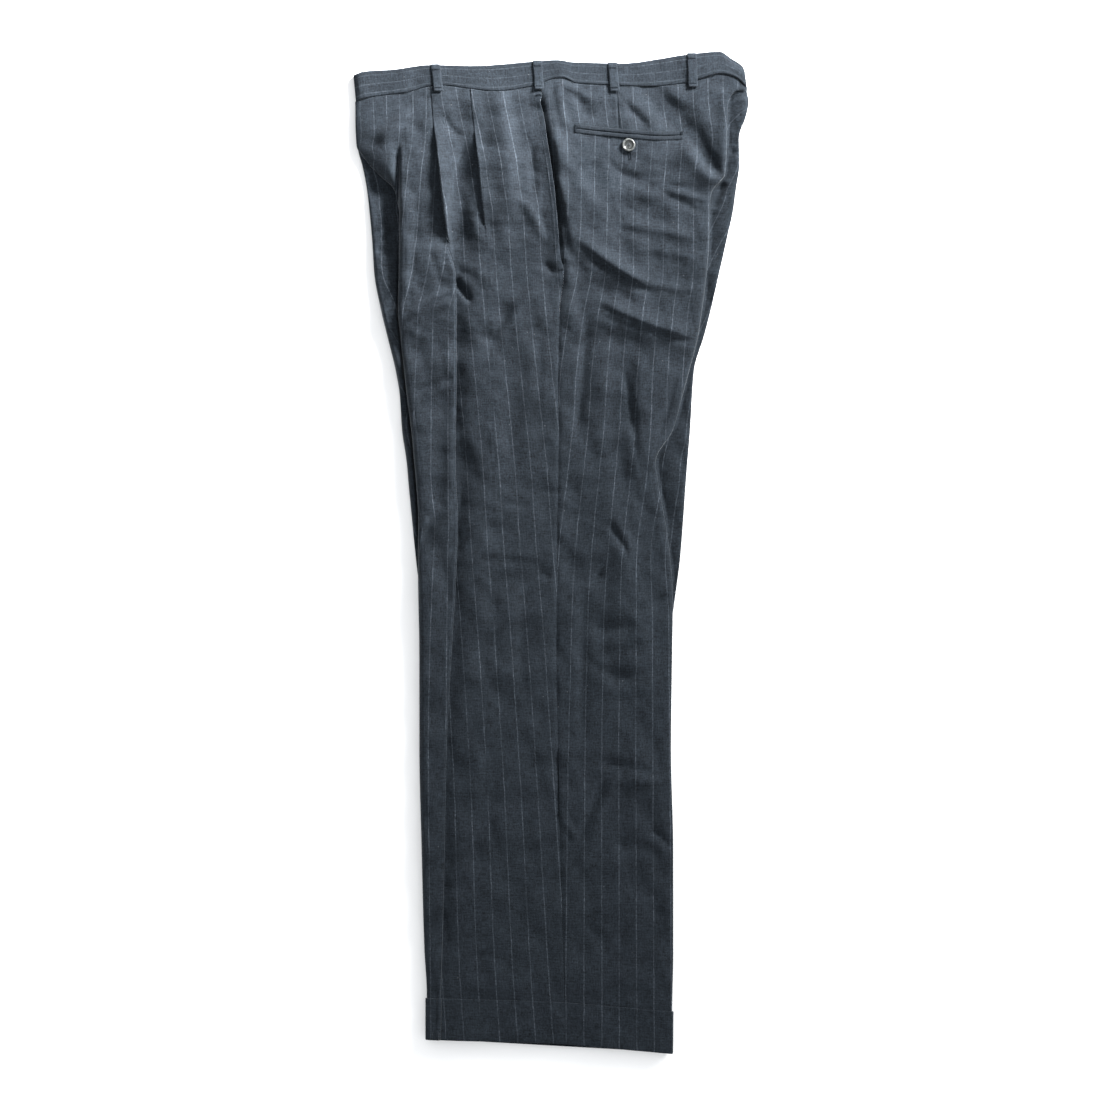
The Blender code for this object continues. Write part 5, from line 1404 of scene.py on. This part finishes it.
class TROUSERS_OT_right_leg(bpy.types.Operator):
    """Right front and back panels, which lie underneath"""
    bl_idname = "trousers.right_leg"
    bl_label = "Right leg"

    def execute(self, context):
        leg("right", right_path)
        return {"FINISHED"}


class TROUSERS_OT_turn_ups(bpy.types.Operator):
    """The hems, turned up outside the legs"""
    bl_idname = "trousers.turn_ups"
    bl_label = "Turn-ups"

    def execute(self, context):
        turn_up("left", left_path)
        turn_up("right", right_path)
        return {"FINISHED"}


class TROUSERS_OT_waistbands(bpy.types.Operator):
    """Both halves of the waistband"""
    bl_idname = "trousers.waistbands"
    bl_label = "Waistband"

    def execute(self, context):
        waistband("left", True)
        waistband("right", False)
        return {"FINISHED"}


class TROUSERS_OT_belt_loops(bpy.types.Operator):
    """Belt loops of the left side, with a bar tack at each end"""
    bl_idname = "trousers.belt_loops"
    bl_label = "Belt loops"

    def execute(self, context):
        on_top = top_of("left_waistband_cloth", "left_front_cloth", "left_back_cloth")
        for number, (x, lean) in enumerate(LOOPS, 1):
            line, normal, across = belt_loop(number, x, lean, on_top)
            runs = []
            for at in (4, len(line) - 8):
                middle = line[at] + normal[at] * 1.4
                runs += bar_tack(middle, across[at], tangents(line)[at], 7.5, 1.2, 5, 0.2)
            stitches(f"belt_loop_tacks_{number}", runs, finish("thread"))
        return {"FINISHED"}


class TROUSERS_OT_back_pocket(bpy.types.Operator):
    """The welts of the back pocket, its end tacks and the stitches along its edges"""
    bl_idname = "trousers.back_pocket"
    bl_label = "Back pocket"

    def execute(self, context):
        on_top = top_of("left_back_cloth")
        for place, shift in (("upper", WELT_SHIFT), ("lower", -WELT_SHIFT)):
            line = laid_line(WELT_ROUTE, 1.6, on_top, SEAM_GAP, shift)
            tangent, across, normal = level_frame(line)
            mesh = strip_mesh(f"back_pocket_{place}_welt_cloth", line, normal, across, WELT_RING)
            add_piece(mesh.name, mesh, finish("welt"), (f"back_pocket_{place}_welt",))
        line = laid_line(WELT_ROUTE, 1.6, on_top, SEAM_GAP)
        tangent, across, normal = level_frame(line)
        runs = []
        for at, inward in ((0, 1.0), (-1, -1.0)):
            middle = line[at] + tangent[at] * inward * 1.0 + (0.0, 0.0, 1.15)
            runs += bar_tack(middle, across[at], tangent[at], 8.6, 1.5, 6, 0.22)
        for shift in (WELT_SHIFT * 2 - 0.2, 0.2 - WELT_SHIFT * 2):
            edge = laid_line(WELT_ROUTE, 2.0, on_top, 0.12, shift)
            runs += run_of(edge, 2.4, 1.7, 0.16)
        stitches("back_pocket_stitches", runs, finish("thread"))
        return {"FINISHED"}


BUTTON_X, BUTTON_Y, BUTTON_RADIUS = 84.0, 439.3, 7.1
BUTTON_PROFILE = ((5.9, 0.0), (6.5, 0.25), (6.95, 0.7), (7.1, 1.2), (7.05, 1.75), (6.8, 2.25), (6.35, 2.55),
                  (5.85, 2.62), (5.35, 2.5), (4.95, 2.2), (4.6, 1.85), (4.1, 1.62), (2.0, 1.5))
BUTTON_SIDES, BUTTON_SEAT, BUTTON_GIRTH = 72, 0.3, 45.0
HOLES, HOLE_PLACE, HOLE_RADIUS, HOLE_SIDES = 4, 1.5, 0.75, 20
# Section of a hole's cutter: share of the hole's radius, and height.
HOLE_PROFILE = ((1.0, -4.0), (1.0, 0.4), (1.0, 1.15), (1.06, 1.35), (1.25, 1.5), (1.3, 8.0))
THREAD_BARS, THREAD_STRANDS, BAR_PLACE, BAR_HEIGHT = (-1.0, 1.0), (-0.35, 0.0, 0.35), 1.06, 1.75


def turned_object(name, profile, grain, x=0.0, y=0.0):
    """A closed shape turned about an upright axis, from the radii and heights of its profile."""
    sides = grain.shape[1] - 1
    turn = np.arange(sides) * 2 * np.pi / sides
    radius, height = (np.array(column)[:, None] for column in zip(*profile))
    columns = radius * np.cos(turn) + x, radius * np.sin(turn) + y, height
    place = np.stack(np.broadcast_arrays(*columns), axis=-1)
    return link_new(name, cloth_mesh(name, place, grain, wrap=True, caps=True))


def drilled_button():
    """The button's own mesh at the origin, turned to its profile and drilled with its holes."""
    around, height = np.linspace(0, 1, BUTTON_SIDES + 1) * BUTTON_GIRTH, np.array(BUTTON_PROFILE)[:, 1:]
    grain = np.stack(np.broadcast_arrays(around, height), axis=-1)
    blank = turned_object("button_blank", BUTTON_PROFILE, grain)
    profile = [(share * HOLE_RADIUS, height) for share, height in HOLE_PROFILE]
    cutters = []
    for number in range(HOLES):
        angle = math.tau * (number + 0.5) / HOLES
        cutter = turned_object(f"hole_{number}", profile, np.zeros((len(profile), HOLE_SIDES + 1, 2)),
                               HOLE_PLACE * math.cos(angle), HOLE_PLACE * math.sin(angle))
        cut = blank.modifiers.new(cutter.name, "BOOLEAN")
        cut.operation, cut.solver, cut.object = "DIFFERENCE", "EXACT", cutter
        cutters.append(cutter)
    made = blank.evaluated_get(bpy.context.evaluated_depsgraph_get())
    mesh = bpy.data.meshes.new_from_object(made)
    for extra in (blank, *cutters):
        bpy.data.objects.remove(extra, do_unlink=True)
    mesh.name = "back_pocket_button_horn"
    mesh.materials.clear()
    mesh.shade_smooth()
    mesh.set_sharp_from_angle(angle=math.radians(38))
    return mesh


def button_seat(on_top):
    """How the button leans with the cloth, as a turning matrix, and the point that it sits on."""
    reach = 6
    slope_x = (on_top(BUTTON_X + reach, BUTTON_Y) - on_top(BUTTON_X - reach, BUTTON_Y)) / (2 * reach)
    slope_y = (on_top(BUTTON_X, BUTTON_Y + reach) - on_top(BUTTON_X, BUTTON_Y - reach)) / (2 * reach)
    tilt = np.array(((1.0, 0.0, slope_x), (0.0, 1.0, slope_y), (-slope_x, -slope_y, 1.0)))
    highest = on_top(BUTTON_X, BUTTON_Y)
    for angle in (math.tau * k / 24 for k in range(24)):
        x, y = BUTTON_RADIUS * math.cos(angle), BUTTON_RADIUS * math.sin(angle)
        highest = max(highest, on_top(BUTTON_X + x, BUTTON_Y + y) - slope_x * x - slope_y * y)
    return tilt, np.array((BUTTON_X, BUTTON_Y, highest + BUTTON_SEAT))


class TROUSERS_OT_button(bpy.types.Operator):
    """The back pocket's four-hole button, sewn on with two bars of thread"""
    bl_idname = "trousers.button"
    bl_label = "Button"

    def execute(self, context):
        mesh = drilled_button()
        tilt, seat = button_seat(top_of("left_back_cloth"))
        place = np.zeros(len(mesh.vertices) * 3)
        mesh.vertices.foreach_get("co", place)
        mesh.vertices.foreach_set("co", (((place.reshape(-1, 3) / MM) @ tilt + seat) * MM).ravel())
        add_piece(mesh.name, mesh, finish("button"), ("back_pocket_button",))
        runs = []
        for bar in THREAD_BARS:
            for strand in THREAD_STRANDS:
                middle = np.array((bar * BAR_PLACE + strand, 0.0, BAR_HEIGHT)) @ tilt + seat
                runs.append((middle, np.array((0.0, 1.0, 0.0)) @ tilt, 3.1, 0.24, 1.0))
        stitches("button_threads", runs, finish("button_thread"))
        return {"FINISHED"}


BUTTONHOLE_TOP, BUTTONHOLE_LENGTH, BUTTONHOLE_STITCHES = 440.0, 15.5, 26


class TROUSERS_OT_sewing(bpy.types.Operator):
    """Side pocket stitching and tacks, and the buttonhole below the back pocket"""
    bl_idname = "trousers.sewing"
    bl_label = "Sewing"

    def execute(self, context):
        sewing = context.scene.trousers_sewing
        radius, pitch = sewing.stitch_radius / MM, sewing.stitch_pitch / MM
        inset = sewing.pocket_stitch_inset / MM
        on_front = top_of("left_front_cloth")
        y = np.linspace(POCKET_HIGH + 2.0, POCKET_LOW, 60)
        x = SECTION.side(y) - inset
        line = laid_line(np.column_stack((x, plan_y(x, y))), 2.0, on_front, 0.1)
        runs = run_of(line, pitch, pitch * 0.7, radius)
        for at_y in (POCKET_HIGH + 1.0, POCKET_LOW + 2.0):
            at_x = float(SECTION.side(at_y)) - 2.8
            seen = float(plan_y(at_x, at_y))
            middle = (at_x, seen, on_front(at_x, seen) + 0.2)
            runs += bar_tack(middle, (1.0, 0.0, 0.0), (0.0, 1.0, 0.0), 5.5, 1.6, 6, radius)
        stitches("side_pocket_stitches", runs, finish("thread"))
        on_back = top_of("left_back_cloth")
        runs = []
        for side in (-1.0, 1.0):
            for down in np.linspace(0.0, BUTTONHOLE_LENGTH, BUTTONHOLE_STITCHES):
                at_x = BUTTON_X + 0.6 + side * 1.15 + down * 0.03
                at_y = BUTTONHOLE_TOP - down
                runs.append(((at_x, at_y, on_back(at_x, at_y) + 0.14), (1.0, 0.0, 0.0), 1.9, 0.22, 1.0))
        end_x, end_y = BUTTON_X + 1.2, BUTTONHOLE_TOP - BUTTONHOLE_LENGTH - 0.5
        end = (end_x, end_y, on_back(end_x, end_y) + 0.3)
        runs += bar_tack(end, (1.0, 0.35, 0.0), (0.0, 1.0, 0.0), 4.6, 1.4, 5, 0.3)
        stitches("back_pocket_buttonhole", runs, finish("thread"))
        return {"FINISHED"}


FLOOR_HALF, FLOOR_SINK = 9.0, -0.0004
SENSOR_WIDTH = 36.0
CAMERA_PLACE = (-0.0009, 0.0029)
ROOM_COLOUR = (0.96, 0.98, 1.0, 1.0)
# Each softbox: name, place, what it points at, size, spread in degrees, and the setting of its power.
SOFTBOXES = (
    ("waist_softbox", (0.72, 1.25, 0.52), (-0.24, 0.58, 0.0), (0.55, 0.35), 54.0, "waist_light"),
    ("back_softbox", (0.95, 0.25, 0.42), (0.02, -0.03, 0.0), (0.5, 0.3), 70.0, "back_light"),
    ("far_softbox", (2.0, 2.8, 1.35), (0.0, 0.0, 0.0), (1.3, 0.9), 180.0, "far_light"))


def lay_floor(colour):
    """A plain floor with a faint speckle, just under the cloth."""
    corners = [(x * FLOOR_HALF, y * FLOOR_HALF, FLOOR_SINK) for x, y in ((-1, -1), (1, -1), (1, 1), (-1, 1))]
    mesh = bpy.data.meshes.new("studio_floor")
    mesh.from_pydata(corners, [], [(0, 1, 2, 3)])
    made, w, shader = new_material("studio_floor", 0.6, Specular_IOR_Level=0.2, Emission_Strength=0.12)
    speck = w.noise(w.place(), 30.0, 3.0)
    w.feed(shader, {"Base Color": w.blend(speck, (*colour, 1.0), (*(0.985 * colour), 1.0))})
    mesh.materials.append(made)
    link_new("studio_floor", mesh)


def hang_softbox(name, place, aim, size, spread, power):
    """A soft light that points at a place and isn't seen itself."""
    light = bpy.data.lights.new(name, "AREA")
    light.shape, light.size, light.size_y, light.energy = "RECTANGLE", *size, power
    light.spread = math.radians(spread)
    holder = link_new(name, light)
    holder.location = place
    holder.rotation_euler = (Vector(aim) - Vector(place)).to_track_quat("-Z", "Y").to_euler()
    holder.visible_camera = False


def hang_camera(height, frame_width):
    """A camera straight above, that sees a given width of the floor."""
    camera = bpy.data.cameras.new("studio_camera")
    camera.sensor_width = SENSOR_WIDTH
    camera.lens = SENSOR_WIDTH * height / frame_width
    camera.clip_end = 50.0
    holder = link_new("studio_camera", camera)
    holder.location = (*CAMERA_PLACE, height)
    bpy.context.scene.camera = holder


class TROUSERS_OT_studio(bpy.types.Operator):
    """Plain floor, soft lights and the camera straight above"""
    bl_idname = "trousers.studio"
    bl_label = "Studio"

    def execute(self, context):
        studio = context.scene.trousers_studio
        lay_floor(np.array(studio.floor_colour))
        for name, place, aim, size, spread, power in SOFTBOXES:
            hang_softbox(name, place, aim, size, spread, getattr(studio, power))
        context.scene.world = bpy.data.worlds.new("studio_room")
        context.scene.world.use_nodes = True
        sky = context.scene.world.node_tree.nodes["Background"]
        sky.inputs["Color"].default_value = ROOM_COLOUR
        sky.inputs["Strength"].default_value = studio.room_light
        hang_camera(studio.camera_height, studio.frame_width)
        context.scene.view_settings.view_transform = "Standard"
        return {"FINISHED"}


class TROUSERS_OT_cuts(bpy.types.Operator):
    """Go over the flat size that each piece of cloth was cut to, in metres, keeping nothing"""
    bl_idname = "trousers.cuts"
    bl_label = "Cuts"

    def execute(self, context):
        for name, (width, length, area, held, rests_on) in CUTS.items():
            width * MM
            length * MM
            area * MM * MM
        return {"FINISHED"}


OPERATORS = (TROUSERS_OT_left_leg, TROUSERS_OT_right_leg, TROUSERS_OT_turn_ups, TROUSERS_OT_waistbands,
             TROUSERS_OT_belt_loops, TROUSERS_OT_back_pocket, TROUSERS_OT_button, TROUSERS_OT_sewing,
             TROUSERS_OT_studio, TROUSERS_OT_cuts)
GROUPS = {"trousers_finish": TrousersFinish, "trousers_sewing": TrousersSewing,
          "trousers_studio": TrousersStudio}


class TROUSERS_PT_panel(bpy.types.Panel):
    """Sizes, colours and pieces of the trousers"""
    bl_idname = "TROUSERS_PT_panel"
    bl_label = "Pleated dress trousers"
    bl_space_type = "VIEW_3D"
    bl_region_type = "UI"
    bl_category = "Trousers"

    def draw(self, context):
        for name, group in GROUPS.items():
            box = self.layout.box()
            box.label(text=group.__doc__)
            for field in group.__annotations__:
                box.prop(getattr(context.scene, name), field)
        for operator in OPERATORS:
            self.layout.operator(operator.bl_idname)


def register():
    for made in (*GROUPS.values(), *OPERATORS, TROUSERS_PT_panel):
        bpy.utils.register_class(made)
    for name, group in GROUPS.items():
        setattr(bpy.types.Scene, name, bpy.props.PointerProperty(type=group))


def unregister():
    for name in GROUPS:
        delattr(bpy.types.Scene, name)
    for made in (TROUSERS_PT_panel, *reversed(OPERATORS), *reversed(GROUPS.values())):
        bpy.utils.unregister_class(made)


def main():
    register()
    for operator in OPERATORS:
        group, name = operator.bl_idname.split(".")
        getattr(getattr(bpy.ops, group), name)()


if __name__ == "__main__":
    main()
